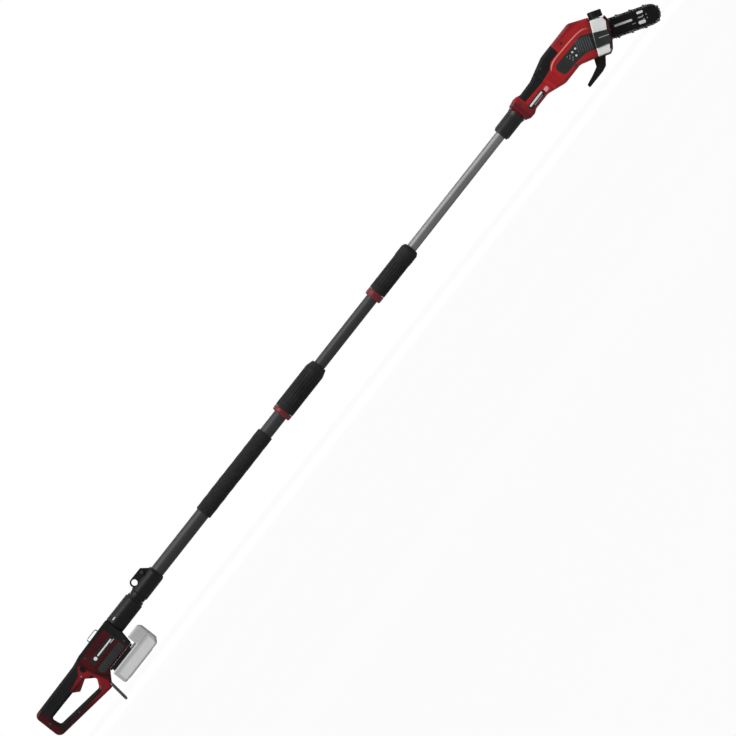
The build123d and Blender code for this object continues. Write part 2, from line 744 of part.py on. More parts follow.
with BuildPart() as head_soft_top:
    add(head_full)
    add(head_inner, mode=Mode.SUBTRACT)
    add(soft_zone.part, mode=Mode.INTERSECT)
    add(head_holes.part, mode=Mode.SUBTRACT)
with BuildPart() as head_panels:
    add(head_full)
    add(head_inner, mode=Mode.SUBTRACT)
    add(panel_zone.part, mode=Mode.INTERSECT)
    add(gearbox_space.part, mode=Mode.SUBTRACT)
    add(cover_space.part, mode=Mode.SUBTRACT)
    # keep the two side plates, not the strip across the front
    with BuildSketch(DP):
        with Locations((290, -30)):
            Rectangle(200, 100)
    extrude(amount=HEAD_HALF - 8, both=True, mode=Mode.SUBTRACT)
with BuildPart() as head_shells:
    add(head_full)
    # threaded collar that the coupling nut takes hold of
    with BuildSketch(DP):
        with BuildLine():
            Polyline((32, 0), (32, 17.4), (62, 17.4), (62, 0), close=True)
        make_face()
    revolve(axis=POLE_AXIS)
    add(head_soft_top.part, mode=Mode.SUBTRACT)
    add(head_panels.part, mode=Mode.SUBTRACT)
    add(head_cavity.part, mode=Mode.SUBTRACT)
    add(head_holes.part, mode=Mode.SUBTRACT)
    add(gearbox_space.part, mode=Mode.SUBTRACT)
    add(cover_space.part, mode=Mode.SUBTRACT)
    # upright cooling grooves behind the motor
    for side in (-1, 1):
        with BuildSketch(at_y(DP, side * (HEAD_HALF - 1.2))):
            with Locations(*[(161.5 + 5.6 * i, -17) for i in range(4)]):
                SlotOverall(24, 2.4, rotation=84)
        extrude(amount=-side * 10, mode=Mode.SUBTRACT)
with BuildPart() as head_shell_right:
    add(head_shells.part)
    with BuildSketch(DP):
        with Locations((200, 0)):
            Rectangle(500, 300)
    extrude(amount=80, mode=Mode.INTERSECT)
with BuildPart() as head_shell_left:
    add(head_shells.part)
    with BuildSketch(DP):
        with Locations((200, 0)):
            Rectangle(500, 300)
    extrude(amount=-80, mode=Mode.INTERSECT)
save(head_shell_right.part, "head_shell_right")
save(head_shell_left.part, "head_shell_left")
save(head_soft_top.part, "head_soft_top")
save(head_panels.part, "head_side_panels")

with BuildPart() as head_screws:
    for x, z, h in D_SCREWS:
        with BuildSketch(at_y(DP, -(h - 3.3))):
            with Locations((x, z)):
                Circle(3.1)
        extrude(amount=2.2)
        if x != 78.5:
            with BuildSketch(DP):
                with Locations((x, z)):
                    Circle(1.45)
            extrude(amount=h - 3.2)
        with BuildSketch(at_y(DP, -(h - 2))):
            with Locations((x, z)):
                Rectangle(4, 0.8)
                Rectangle(0.8, 4)
        extrude(amount=4, mode=Mode.SUBTRACT)
save(head_screws.part, "head_screws")

# Motor: flat brushless motor across the head, pinion on its shaft.
with BuildPart() as motor_can:
    with BuildSketch(at_y(BP, -7.9)):
        with Locations((MOTOR_A, MOTOR_B)):
            Circle(21.6)
    extrude(amount=18.4)
    with BuildSketch(at_y(BP, -6)):
        with Locations((MOTOR_A, MOTOR_B)):
            Circle(18)
    extrude(amount=18.6, mode=Mode.SUBTRACT)
    with BuildSketch(BP):
        with Locations((MOTOR_A, MOTOR_B)):
            Circle(2.9)
    extrude(amount=30, mode=Mode.SUBTRACT)
    with BuildSketch(at_y(BP, -12)):
        with Locations((MOTOR_A, MOTOR_B)):
            with PolarLocations(20, 12):
                Rectangle(6, 2.4)
    extrude(amount=10, mode=Mode.SUBTRACT)
save(motor_can.part, "motor_can")
with BuildPart() as motor_rotor:
    with BuildSketch(at_y(BP, -10)):
        with Locations((MOTOR_A, MOTOR_B)):
            Circle(16.5)
    extrude(amount=13.5)
    with BuildSketch(at_y(BP, 3.9)):
        with Locations((MOTOR_A, MOTOR_B)):
            Circle(2.85)
    extrude(amount=29.8)
with BuildPart() as pinion:
    with BuildSketch(at_y(BP, 3.6)):
        with Locations((MOTOR_A, MOTOR_B)):
            Circle(8.1)
            with PolarLocations(8.3, 10):
                Circle(0.95, mode=Mode.SUBTRACT)
            Circle(2.85, mode=Mode.SUBTRACT)
    extrude(amount=5.2)
with BuildPart() as motor_rotor_set:
    add(motor_rotor.part)
    add(pinion.part)
save(motor_rotor_set.part, "motor_rotor")
with BuildPart() as drive_gear:
    with BuildSketch(at_y(BP, 3.4)):
        with Locations((DRIVE_A, BAR_B)):
            Circle(26.4)
            with PolarLocations(26.7, 32):
                Circle(0.95, mode=Mode.SUBTRACT)
            with PolarLocations(16, 6):
                Circle(4.2, mode=Mode.SUBTRACT)
            Circle(4.5, mode=Mode.SUBTRACT)
    extrude(amount=4.8)
save(drive_gear.part, "drive_gear")
with BuildPart() as drive_shaft:
    with BuildSketch(at_y(BP, 21)):
        with Locations((DRIVE_A, BAR_B)):
            Circle(4.5)
    extrude(amount=27.2)
save(drive_shaft.part, "drive_shaft")
with BuildPart() as drive_sprocket:
    with BuildSketch(at_y(BP, 15)):
        with Locations((DRIVE_A, BAR_B)):
            Circle(13.6)
            with PolarLocations(13.9, 7):
                Circle(2.2, mode=Mode.SUBTRACT)
            Circle(4.5, mode=Mode.SUBTRACT)
    extrude(amount=5.6)
    with BuildSketch(at_y(BP, 17.4)):
        with Locations((DRIVE_A, BAR_B)):
            Circle(7.5)
            Circle(4.5, mode=Mode.SUBTRACT)
    extrude(amount=2.5)
save(drive_sprocket.part, "drive_sprocket")
with BuildPart() as shaft_bearings:
    with BuildSketch(at_y(BP, -2.6)):
        with Locations((DRIVE_A, BAR_B)):
            Circle(8)
            Circle(4.58, mode=Mode.SUBTRACT)
    extrude(amount=3.4)
    with BuildSketch(at_y(BP, 8.4)):
        with Locations((DRIVE_A, BAR_B)):
            Circle(8)
            Circle(4.58, mode=Mode.SUBTRACT)
    extrude(amount=3.6)
save(shaft_bearings.part, "shaft_bearings")

with BuildPart() as gearbox_housing:
    with BuildSketch(at_y(BP, 5.9)):
        rounded_face(GEARBOX)
    extrude(amount=13.4)
    with BuildSketch(at_y(BP, 6)):
        with Locations((DRIVE_A, BAR_B)):
            Circle(27.4)
        with Locations((MOTOR_A, MOTOR_B)):
            Circle(9.6)
    extrude(amount=8.2, mode=Mode.SUBTRACT)
    with BuildSketch(at_y(BP, 0)):
        with Locations((DRIVE_A, BAR_B)):
            Circle(8)
    extrude(amount=6.4, mode=Mode.SUBTRACT)
    with BuildSketch(BP):
        with Locations((MOTOR_A, MOTOR_B)):
            Circle(3.3)
    extrude(amount=20, mode=Mode.SUBTRACT)
    # pump seat and stud hole
    with BuildSketch(at_y(BP, 6)):
        with Locations((-24, -28)):
            RectangleRounded(24.6, 12.6, 2)
    extrude(amount=10, mode=Mode.SUBTRACT)
save(gearbox_housing.part, "gearbox_housing")
with BuildPart() as oil_pump:
    with BuildSketch(at_y(BP, 5.8)):
        with Locations((-24, -28)):
            RectangleRounded(24, 12, 2)
    extrude(amount=9.6)
save(oil_pump.part, "oil_pump")
with BuildPart() as bar_plate:
    with BuildSketch(at_y(BP, 8.4)):
        rounded_face([((-64, -34), 4), ((-64, 44), 6), ((-38, 46), 3),
                      ((-10, 42), 4), ((5.5, 31), 4), ((-0.5, 6), 8),
                      ((-1, -11), 8), ((-7.5, -33), 8), ((-15, -40), 6)])
        with Locations((DRIVE_A, BAR_B)):
            Circle(8, mode=Mode.SUBTRACT)
    extrude(amount=2.4)
    with BuildSketch(at_y(BP, 9.8)):
        with Locations((STUD_A, BAR_B)):
            Circle(6.5)
    extrude(amount=1.5)
    with BuildSketch(at_y(BP, 12)):
        with Locations((STUD_A, BAR_B)):
            Circle(3.9)
    extrude(amount=8, mode=Mode.SUBTRACT)
with BuildPart() as bar_stud:
    with BuildSketch(at_y(BP, 33)):
        with Locations((STUD_A, BAR_B)):
            Circle(3.9)
    extrude(amount=27)
with BuildPart() as bar_plate_set:
    add(bar_plate.part)
    add(bar_stud.part)
save(bar_plate_set.part, "bar_plate")

# Oil tank beside the gearbox, its filler cap on top.
with BuildPart() as oil_tank:
    with BuildSketch(at_y(BP, -8)):
        rounded_face([((-36.1, 41.5), 3), ((-6, 41.5), 4), ((3, 30), 5),
                      ((-2.5, 6), 8), ((-3, -11), 8), ((-9, -32), 8),
                      ((-15, -39), 6), ((-43.2, -39), 2)])
    extrude(amount=19.4)
    soften(oil_tank.faces().sort_by(Axis.Y)[0].edges(), (4, 3, 2, 1))
    with BuildSketch(at_y(BP, -10)):
        rounded_face([((-33.6, 39), 2), ((-7.5, 39), 3), ((0, 29.4), 3),
                      ((-5, 6), 6), ((-5.5, -11), 6), ((-11.3, -31), 6),
                      ((-16, -36.5), 4), ((-40.4, -36.5), 2)])
    extrude(amount=15, mode=Mode.SUBTRACT)
    with BuildSketch(Plane(origin=BP.from_local_coords((-19.4, 38, 15.4)),
                           x_dir=(0, 1, 0), z_dir=(s32, 0, c32))):
        Circle(6.4)
    extrude(amount=11)
    with BuildSketch(Plane(origin=BP.from_local_coords((-19.4, 36, 15.4)),
                           x_dir=(0, 1, 0), z_dir=(s32, 0, c32))):
        Circle(4.4)
    extrude(amount=30, mode=Mode.SUBTRACT)
save(oil_tank.part, "oil_tank")
with BuildPart() as oil_cap:
    with BuildSketch(Plane(origin=BP.from_local_coords((-19.4, 43.6, 13.6)),
                           x_dir=(0, 1, 0), z_dir=(s32, 0, c32))):
        Circle(16)
        with PolarLocations(16.5, 12, start_angle=15):
            Circle(2.4, mode=Mode.SUBTRACT)
    extrude(amount=15.6)
    soften(oil_cap.faces().sort_by(Axis((0, 0, 0), (s32, 0, c32)))[-1].edges(),
           (1.5, 1, 0.6))
    with BuildSketch(Plane(origin=BP.from_local_coords((-19.4, 43, 15.4)),
                           x_dir=(0, 1, 0), z_dir=(s32, 0, c32))):
        Circle(7)
    extrude(amount=7, mode=Mode.SUBTRACT)
    # finger bar across the top
    with BuildSketch(Plane(origin=BP.from_local_coords((-19.4, 56, 13.6)),
                           x_dir=(0, 1, 0), z_dir=(s32, 0, c32))):
        Circle(12)
        Rectangle(30, 6, mode=Mode.SUBTRACT)
    extrude(amount=6, mode=Mode.SUBTRACT)
save(oil_cap.part, "oil_cap")

# Dark side cover over the tank, in line with the side panel.
with BuildPart() as tank_cover:
    with BuildSketch(at_y(BP, -27.5)):
        rounded_face([((-37.5, 14), 2), ((-4, 11), 3), ((-3.4, -11), 4),
                      ((-6, -19), 3), ((-41.3, -21), 2)])
    extrude(amount=3)
    soften(tank_cover.faces().sort_by(Axis.Y)[0].edges(), (1.5, 1, 0.6))
save(tank_cover.part, "tank_side_cover")

# Guide bar: laminated plate with its clamping slot and a nose sprocket.
with BuildPart() as guide_bar:
    with BuildSketch(at_y(BP, BAR_Y1)):
        with Locations((NOSE_A, BAR_B)):
            Circle(BAR_HALF)
        with BuildLine():
            Polyline((-14, BAR_B - 14), (-14, BAR_B + 14),
                     (12, BAR_B + BAR_HALF), (NOSE_A, BAR_B + BAR_HALF),
                     (NOSE_A, BAR_B - BAR_HALF), (12, BAR_B - BAR_HALF),
                     close=True)
        make_face()
        with Locations((-2, BAR_B)):
            SlotOverall(14, 8.4, mode=Mode.SUBTRACT)
        with Locations((-4, BAR_B + 10.5), (-4, BAR_B - 10.5)):
            Circle(2, mode=Mode.SUBTRACT)
    extrude(amount=BAR_Y1 - BAR_Y0)
    with BuildSketch(at_y(BP, 13)):
        with Locations((NOSE_A, BAR_B)):
            Circle(16.4)
        with BuildLine():
            Polyline((NOSE_A, BAR_B - 16.4), (NOSE_A + 30, BAR_B - 16.4),
                     (NOSE_A + 30, BAR_B + 16.4), (NOSE_A, BAR_B + 16.4),
                     close=True)
        make_face()
    extrude(amount=2, mode=Mode.SUBTRACT)
    with BuildSketch(at_y(BP, 13.2)):
        with Locations((NOSE_A, BAR_B)):
            Circle(3)
    extrude(amount=2.4)
save(guide_bar.part, "guide_bar")
with BuildPart() as nose_sprocket:
    with BuildSketch(at_y(BP, 12.7)):
        with Locations((NOSE_A, BAR_B)):
            Circle(15.6)
            with PolarLocations(16, 10):
                Circle(2.2, mode=Mode.SUBTRACT)
            Circle(3.05, mode=Mode.SUBTRACT)
    extrude(amount=1.4)
save(nose_sprocket.part, "nose_sprocket")


def chain_hull(drive_r, bar_r, y0, width):
    """Closed band's outline, from the drive sprocket round the bar's nose."""
    with BuildSketch(at_y(BP, y0)) as rear:
        with Locations((DRIVE_A, BAR_B)):
            Circle(drive_r)
        with Locations((8, BAR_B)):
            Circle(bar_r)
        make_hull()
    with BuildSketch(at_y(BP, y0)) as front:
        with Locations((8, BAR_B)):
            Circle(bar_r)
        with Locations((NOSE_A, BAR_B)):
            Circle(bar_r)
        make_hull()
    with BuildPart() as hull:
        extrude(rear.sketch, amount=width)
        extrude(front.sketch, amount=width)
    return hull.part


# Saw chain: a closed band of links with cutters standing on it.
with BuildPart() as saw_chain:
    add(chain_hull(18.6, 24.4, 14.6, 5.2))
    for i in range(5):
        a = 12 + 17.0 * i
        with BuildSketch(at_y(BP, 14.6)):
            with BuildLine():
                Polyline((a, BAR_B + 23), (a + 8, BAR_B + 23),
                         (a + 7, BAR_B + 26.6), (a + 4, BAR_B + 26.2),
                         (a + 3, BAR_B + 24.6), (a + 1.6, BAR_B + 26),
                         (a, BAR_B + 24.6), close=True)
            make_face()
            with BuildLine():
                Polyline((a + 3, BAR_B - 23), (a + 11, BAR_B - 23),
                         (a + 11, BAR_B - 24.6), (a + 9.4, BAR_B - 26),
                         (a + 8, BAR_B - 24.6), (a + 7, BAR_B - 26.2),
                         (a + 4, BAR_B - 26.6), close=True)
            make_face()
        extrude(amount=5.2)
    for k in range(4):
        t = math.radians(66 - 44 * k)
        ca, cb = math.cos(t), math.sin(t)
        pts = [(23, -4), (24.6, -4), (26, -2.4), (24.6, -1), (26.2, 0),
               (26.5, 3.4), (23, 4)]
        with BuildSketch(at_y(BP, 14.6)):
            with BuildLine():
                Polyline(*[(NOSE_A + r * ca + d * cb, BAR_B + r * cb - d * ca)
                           for r, d in pts], close=True)
            make_face()
        extrude(amount=5.2)
    add(chain_hull(14.2, 20.2, 15, 6), mode=Mode.SUBTRACT)
save(saw_chain.part, "saw_chain")

# Sprocket cover with its clamping knob on the far side.
COVER = [((-64, -10), 14), ((-64, 32), 12), ((-46, 41), 6), ((-6, 39), 5),
         ((4, 31), 5), ((4, -10), 6), ((-6, -20), 6), ((-50, -20), 14)]
with BuildPart() as sprocket_cover:
    with BuildSketch(at_y(BP, 8.8)):
        rounded_face(COVER)
    extrude(amount=-19)
    soften(sprocket_cover.faces().sort_by(Axis.Y)[-1].edges(), (5, 4, 3, 2))
    with BuildSketch(at_y(BP, 8)):
        rounded_face(COVER)
        offset(amount=-2.6)
    extrude(amount=-16.8, mode=Mode.SUBTRACT)
    # chain mouth toward the front
    with BuildSketch(at_y(BP, 8)):
        with Locations((4, BAR_B)):
            Rectangle(20, 55)
    extrude(amount=-9, mode=Mode.SUBTRACT)
    with BuildSketch(BP):
        with Locations((STUD_A, BAR_B)):
            Circle(4.4)
    extrude(amount=-60, mode=Mode.SUBTRACT)
    with BuildSketch(at_y(BP, 24.7)):
        with Locations(*[(-50 + 5 * i, BAR_B + 2) for i in range(5)]):
            SlotOverall(26, 2.2, rotation=90)
    extrude(amount=-6, mode=Mode.SUBTRACT)
save(sprocket_cover.part, "sprocket_cover")
with BuildPart() as cover_knob:
    with BuildSketch(at_y(BP, 28.2)):
        with Locations((STUD_A, BAR_B)):
            Circle(11)
            with PolarLocations(12, 8):
                Circle(2.4, mode=Mode.SUBTRACT)
    extrude(amount=-8)
    soften(cover_knob.faces().sort_by(Axis.Y)[-1].edges(), (1.2, 0.8, 0.5))
    with BuildSketch(at_y(BP, 28)):
        with Locations((STUD_A, BAR_B)):
            Circle(4.2)
    extrude(amount=-5.4, mode=Mode.SUBTRACT)
save(cover_knob.part, "cover_knob")

# Hook under the head for pulling cut branches down.
with BuildPart() as branch_hook:
    with BuildSketch(at_y(DP, 4.6)):
        rounded_face([((260, -57), 0.5), ((285, -70), 2), ((263.5, -88), 6),
                      ((250, -90.6), 10), ((203.5, -90.2), 2.6),
                      ((205.5, -82), 2.4), ((227, -78.3), 10),
                      ((248.5, -73.2), 5)])
    extrude(amount=9.2)
    add(head_shells.part, mode=Mode.SUBTRACT)
    with BuildSketch(at_y(BP, 6)):
        rounded_face(GEARBOX)
        offset(amount=0.01)
    extrude(amount=14, mode=Mode.SUBTRACT)
save(branch_hook.part, "branch_hook")
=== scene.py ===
import bpy, bmesh, math, random
from mathutils import Vector, Matrix


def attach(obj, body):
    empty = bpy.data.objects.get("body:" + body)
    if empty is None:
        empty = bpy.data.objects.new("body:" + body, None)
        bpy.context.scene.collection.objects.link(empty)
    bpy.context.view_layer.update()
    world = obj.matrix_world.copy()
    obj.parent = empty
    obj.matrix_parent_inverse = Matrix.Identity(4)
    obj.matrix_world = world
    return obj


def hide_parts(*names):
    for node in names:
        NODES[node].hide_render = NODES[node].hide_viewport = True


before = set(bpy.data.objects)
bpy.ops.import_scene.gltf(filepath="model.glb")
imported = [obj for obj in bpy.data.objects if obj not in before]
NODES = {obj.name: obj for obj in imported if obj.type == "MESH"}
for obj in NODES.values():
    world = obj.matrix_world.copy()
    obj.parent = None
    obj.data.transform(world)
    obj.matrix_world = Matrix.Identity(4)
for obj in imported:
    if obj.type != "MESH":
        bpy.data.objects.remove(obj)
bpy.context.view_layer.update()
random.seed(7)

# ------------------------------------------------------------------ frame
# Local side-view coordinates in millimetres, as in the CAD model.
XR, XH, AZ = -1039.45, 600.55, 121.7
C32, S32 = math.cos(math.radians(32)), math.sin(math.radians(32))


def H(u, w, y=0.0):
    return Vector(((XR + u) / 1000, y / 1000, (AZ + w) / 1000))


def D(u, w, y=0.0):
    return Vector(((XH + u) / 1000, y / 1000, (AZ + w) / 1000))


def B(a, b, y=0.0):
    return Vector(((XH + 325.5 + a * C32 + b * S32) / 1000, y / 1000,
                   (AZ - 52.5 - a * S32 + b * C32) / 1000))


# -------------------------------------------------------------- materials
def new_mat(name):
    m = bpy.data.materials.new(name)
    m.use_nodes = True
    nt = m.node_tree
    bs = nt.nodes["Principled BSDF"]
    return m, nt, bs


def coords(nt, scale=(1, 1, 1), rot=(0, 0, 0)):
    tc = nt.nodes.new("ShaderNodeTexCoord")
    mp = nt.nodes.new("ShaderNodeMapping")
    mp.inputs["Scale"].default_value = scale
    mp.inputs["Rotation"].default_value = rot
    nt.links.new(tc.outputs["Object"], mp.inputs["Vector"])
    return mp.outputs["Vector"]


def noise(nt, vec, scale, detail=4.0, rough=0.55):
    n = nt.nodes.new("ShaderNodeTexNoise")
    n.inputs["Scale"].default_value = scale
    n.inputs["Detail"].default_value = detail
    n.inputs["Roughness"].default_value = rough
    nt.links.new(vec, n.inputs["Vector"])
    return n.outputs["Fac"]


def voronoi(nt, vec, scale):
    n = nt.nodes.new("ShaderNodeTexVoronoi")
    n.inputs["Scale"].default_value = scale
    nt.links.new(vec, n.inputs["Vector"])
    return n.outputs["Distance"]


def ramp(nt, fac, lo, hi, p0=0.3, p1=0.7):
    r = nt.nodes.new("ShaderNodeMapRange")
    r.inputs["From Min"].default_value = p0
    r.inputs["From Max"].default_value = p1
    r.inputs["To Min"].default_value = lo
    r.inputs["To Max"].default_value = hi
    nt.links.new(fac, r.inputs["Value"])
    return r.outputs["Result"]


def mix(nt, fac, a, b):
    """Colour mix; a and b are colours or sockets."""
    m = nt.nodes.new("ShaderNodeMix")
    m.data_type = "RGBA"
    nt.links.new(fac, m.inputs["Factor"])
    for sock, v in ((m.inputs["A"], a), (m.inputs["B"], b)):
        pass
    ins = [i for i in m.inputs if i.type == "RGBA"]
    for sock, v in zip(ins, (a, b)):
        if isinstance(v, tuple):
            sock.default_value = v + (1.0,)
        else:
            nt.links.new(v, sock)
    return [o for o in m.outputs if o.type == "RGBA"][0]


def math_node(nt, op, a, b=None, clamp=False):
    n = nt.nodes.new("ShaderNodeMath")
    n.operation = op
    n.use_clamp = clamp
    for sock, v in zip(n.inputs, (a, b)):
        if v is None:
            continue
        if isinstance(v, (int, float)):
            sock.default_value = v
        else:
            nt.links.new(v, sock)
    return n.outputs[0]


def bump(nt, bs, height, strength, distance=0.0004):
    b = nt.nodes.new("ShaderNodeBump")
    b.inputs["Strength"].default_value = strength
    b.inputs["Distance"].default_value = distance
    nt.links.new(height, b.inputs["Height"])
    nt.links.new(b.outputs["Normal"], bs.inputs["Normal"])
    return b


def shade(c, k):
    return tuple(min(1.0, x * k) for x in c)


def plastic(name, color, rough=0.42, var=0.18, grain=1400, strength=0.25,
            coat=0.0, sub=0.0, trans=0.0, spec=0.35):
    """Moulded plastic: spark-eroded grain, slow colour drift, dull scuffs."""
    m, nt, bs = new_mat(name)
    vec = coords(nt)
    slow = noise(nt, vec, 22, 3)
    col = mix(nt, ramp(nt, slow, 0, 1), shade(color, 1 - var),
              shade(color, 1 + var))
    nt.links.new(col, bs.inputs["Base Color"])
    scuff = noise(nt, coords(nt, (1, 1, 3.5)), 130, 5, 0.65)
    nt.links.new(ramp(nt, scuff, rough - 0.07, rough + 0.12),
                 bs.inputs["Roughness"])
    fine = noise(nt, vec, grain, 2)
    bump(nt, bs, fine, strength, 0.00025)
    bs.inputs["Coat Weight"].default_value = coat
    bs.inputs["Coat Roughness"].default_value = 0.25
    bs.inputs["Specular IOR Level"].default_value = spec
    if sub:
        bs.inputs["Subsurface Weight"].default_value = sub
        bs.inputs["Subsurface Scale"].default_value = 0.006
    if trans:
        bs.inputs["Transmission Weight"].default_value = trans
    return m


def rubber(name, color, rough=0.72, dots=900, strength=0.5):
    """Soft touch skin: fine stipple and a faint bloom of wear."""
    m, nt, bs = new_mat(name)
    vec = coords(nt)
    bloom = noise(nt, vec, 30, 5, 0.6)
    col = mix(nt, ramp(nt, bloom, 0, 1, 0.35, 0.75), shade(color, 0.75),
              shade(color, 1.9))
    nt.links.new(col, bs.inputs["Base Color"])
    nt.links.new(ramp(nt, noise(nt, vec, 260, 4), rough - 0.1, rough + 0.1),
                 bs.inputs["Roughness"])
    bump(nt, bs, voronoi(nt, vec, dots), strength, 0.0003)
    bs.inputs["Specular IOR Level"].default_value = 0.24
    return m


def foam(name, color):
    """Closed cell foam: open pores at the cut skin, no shine."""
    m, nt, bs = new_mat(name)
    vec = coords(nt)
    pores = voronoi(nt, vec, 620)
    big = noise(nt, vec, 160, 5, 0.7)
    col = mix(nt, ramp(nt, big, 0, 1), shade(color, 0.6), shade(color, 2.3))
    nt.links.new(col, bs.inputs["Base Color"])
    nt.links.new(ramp(nt, big, 0.78, 0.95), bs.inputs["Roughness"])
    h = math_node(nt, "ADD", math_node(nt, "MULTIPLY", pores, 0.7),
                  math_node(nt, "MULTIPLY", big, 0.8))
    bump(nt, bs, h, 0.8, 0.0007)
    bs.inputs["Sheen Weight"].default_value = 0.04
    bs.inputs["Specular IOR Level"].default_value = 0.2
    return m


def metal(name, color, rough=0.3, stretch=(1, 1, 1), scale=220, metallic=1.0,
          var=0.16, strength=0.12, coat=0.0):
    """Metal with drawn or brushed lines along the stretched direction."""
    m, nt, bs = new_mat(name)
    bs.inputs["Metallic"].default_value = metallic
    line = noise(nt, coords(nt, stretch), scale, 5, 0.6)
    slow = noise(nt, coords(nt), 14, 4)
    mixed = math_node(nt, "ADD", math_node(nt, "MULTIPLY", line, 0.6),
                      math_node(nt, "MULTIPLY", slow, 0.4))
    col = mix(nt, ramp(nt, mixed, 0, 1), shade(color, 1 - var),
              shade(color, 1 + var))
    nt.links.new(col, bs.inputs["Base Color"])
    nt.links.new(ramp(nt, line, rough - 0.08, rough + 0.14),
                 bs.inputs["Roughness"])
    bump(nt, bs, line, strength, 0.0002)
    bs.inputs["Coat Weight"].default_value = coat
    return m


def half_plane(nt, point, direction, soft=0.0006):
    """1 on the side that direction (x, z) points to, from point on."""
    tc = nt.nodes.new("ShaderNodeTexCoord")
    d = nt.nodes.new("ShaderNodeVectorMath")
    d.operation = "DOT_PRODUCT"
    n = Vector((direction[0], 0, direction[1])).normalized()
    d.inputs[1].default_value = n
    nt.links.new(tc.outputs["Object"], d.inputs[0])
    off = n.dot(point)
    v = math_node(nt, "SUBTRACT", d.outputs["Value"], off)
    return math_node(nt, "MULTIPLY", v, 1 / soft, clamp=True)


BRIGHT = (0.40, 0.012, 0.014)
MID_RED = (0.215, 0.008, 0.013)
DARK_RED = (0.054, 0.003, 0.005)
BLACK = (0.0045, 0.0045, 0.005)


def handle_shell_material():
    """Red housing with painted light and shade: a lit copy of the red round
    the trigger, a shaded copy elsewhere and painted shade over the rear part,
    with a black, rougher band along the hand opening's lower side."""
    m, nt, bs = new_mat("handle_red_painted_shading")
    vec = coords(nt)
    slow = noise(nt, vec, 24, 3)
    bright = mix(nt, ramp(nt, slow, 0, 1), shade(MID_RED, 0.8),
                 shade(MID_RED, 1.25))
    dark = mix(nt, ramp(nt, slow, 0, 1), shade(DARK_RED, 0.75),
               shade(DARK_RED, 1.35))
    # painted light and shade: lit copy of the red round the trigger, shaded
    # copy elsewhere
    lit_zone = math_node(nt, "MULTIPLY", half_plane(nt, H(88, 0), (1, 0), 0.034),
                     half_plane(nt, H(150, 5), (-1, -0.234), 0.004))
    red = mix(nt, lit_zone, dark, bright)
    # painted shade: the rear part darkened towards near black
    rear = math_node(nt, "MULTIPLY", half_plane(nt, H(8, 0), (1, 0), 0.008),
                     half_plane(nt, H(88, 0), (-1, 0), 0.06))
    red = mix(nt, math_node(nt, "MULTIPLY", rear, 0.6), red, (0.012, 0.003,
                                                              0.004))
    band = math_node(nt, "MULTIPLY",
                     half_plane(nt, H(80, -60), (0.139, 1), 0.0005),
                     half_plane(nt, H(139, -62), (-1, 0.35), 0.0005))
    band = math_node(nt, "MULTIPLY", band,
                     half_plane(nt, H(19, -40), (1, 0), 0.0005))
    band = math_node(nt, "MULTIPLY", band,
                     half_plane(nt, H(60, -27), (0, -1), 0.0005))
    col = mix(nt, band, red, BLACK)
    nt.links.new(col, bs.inputs["Base Color"])
    scuff = noise(nt, coords(nt, (1, 1, 3)), 120, 5, 0.65)
    r = math_node(nt, "ADD", ramp(nt, scuff, 0.3, 0.46),
                  math_node(nt, "MULTIPLY", band, 0.28))
    nt.links.new(r, bs.inputs["Roughness"])
    bump(nt, bs, noise(nt, vec, 1300, 2), 0.22, 0.00025)
    bs.inputs["Specular IOR Level"].default_value = 0.22
    return m


def pack_material():
    """Pale grey case: lighter lower field and a fine parting line."""
    m, nt, bs = new_mat("battery_grey")
    vec = coords(nt)
    slow = noise(nt, vec, 26, 4)
    upper = mix(nt, ramp(nt, slow, 0, 1), (0.46, 0.465, 0.465),
                (0.51, 0.515, 0.515))
    lower = mix(nt, ramp(nt, slow, 0, 1), (0.66, 0.665, 0.665),
                (0.73, 0.735, 0.73))
    field = math_node(nt, "MULTIPLY",
                      half_plane(nt, H(240, -71), (0, -1), 0.005),
                      half_plane(nt, H(297, -80), (-1, 0), 0.002))
    field = math_node(nt, "MULTIPLY", field,
                      half_plane(nt, H(191, -80), (1, 0), 0.002))
    col = mix(nt, field, upper, lower)
    line = math_node(nt, "MULTIPLY",
                     half_plane(nt, H(240, -66.6), (0, -1), 0.0003),
                     half_plane(nt, H(240, -67.4), (0, 1), 0.0003))
    col = mix(nt, line, col, (0.16, 0.16, 0.165))
    nt.links.new(col, bs.inputs["Base Color"])
    scuff = noise(nt, coords(nt, (1, 1, 3)), 110, 5, 0.65)
    nt.links.new(ramp(nt, scuff, 0.36, 0.56), bs.inputs["Roughness"])
    deep = math_node(nt, "SUBTRACT", noise(nt, vec, 1100, 2),
                     math_node(nt, "MULTIPLY", line, 3.0))
    bump(nt, bs, deep, 0.3, 0.00025)
    bs.inputs["Subsurface Weight"].default_value = 0.1
    bs.inputs["Subsurface Scale"].default_value = 0.004
    bs.inputs["Specular IOR Level"].default_value = 0.35
    return m


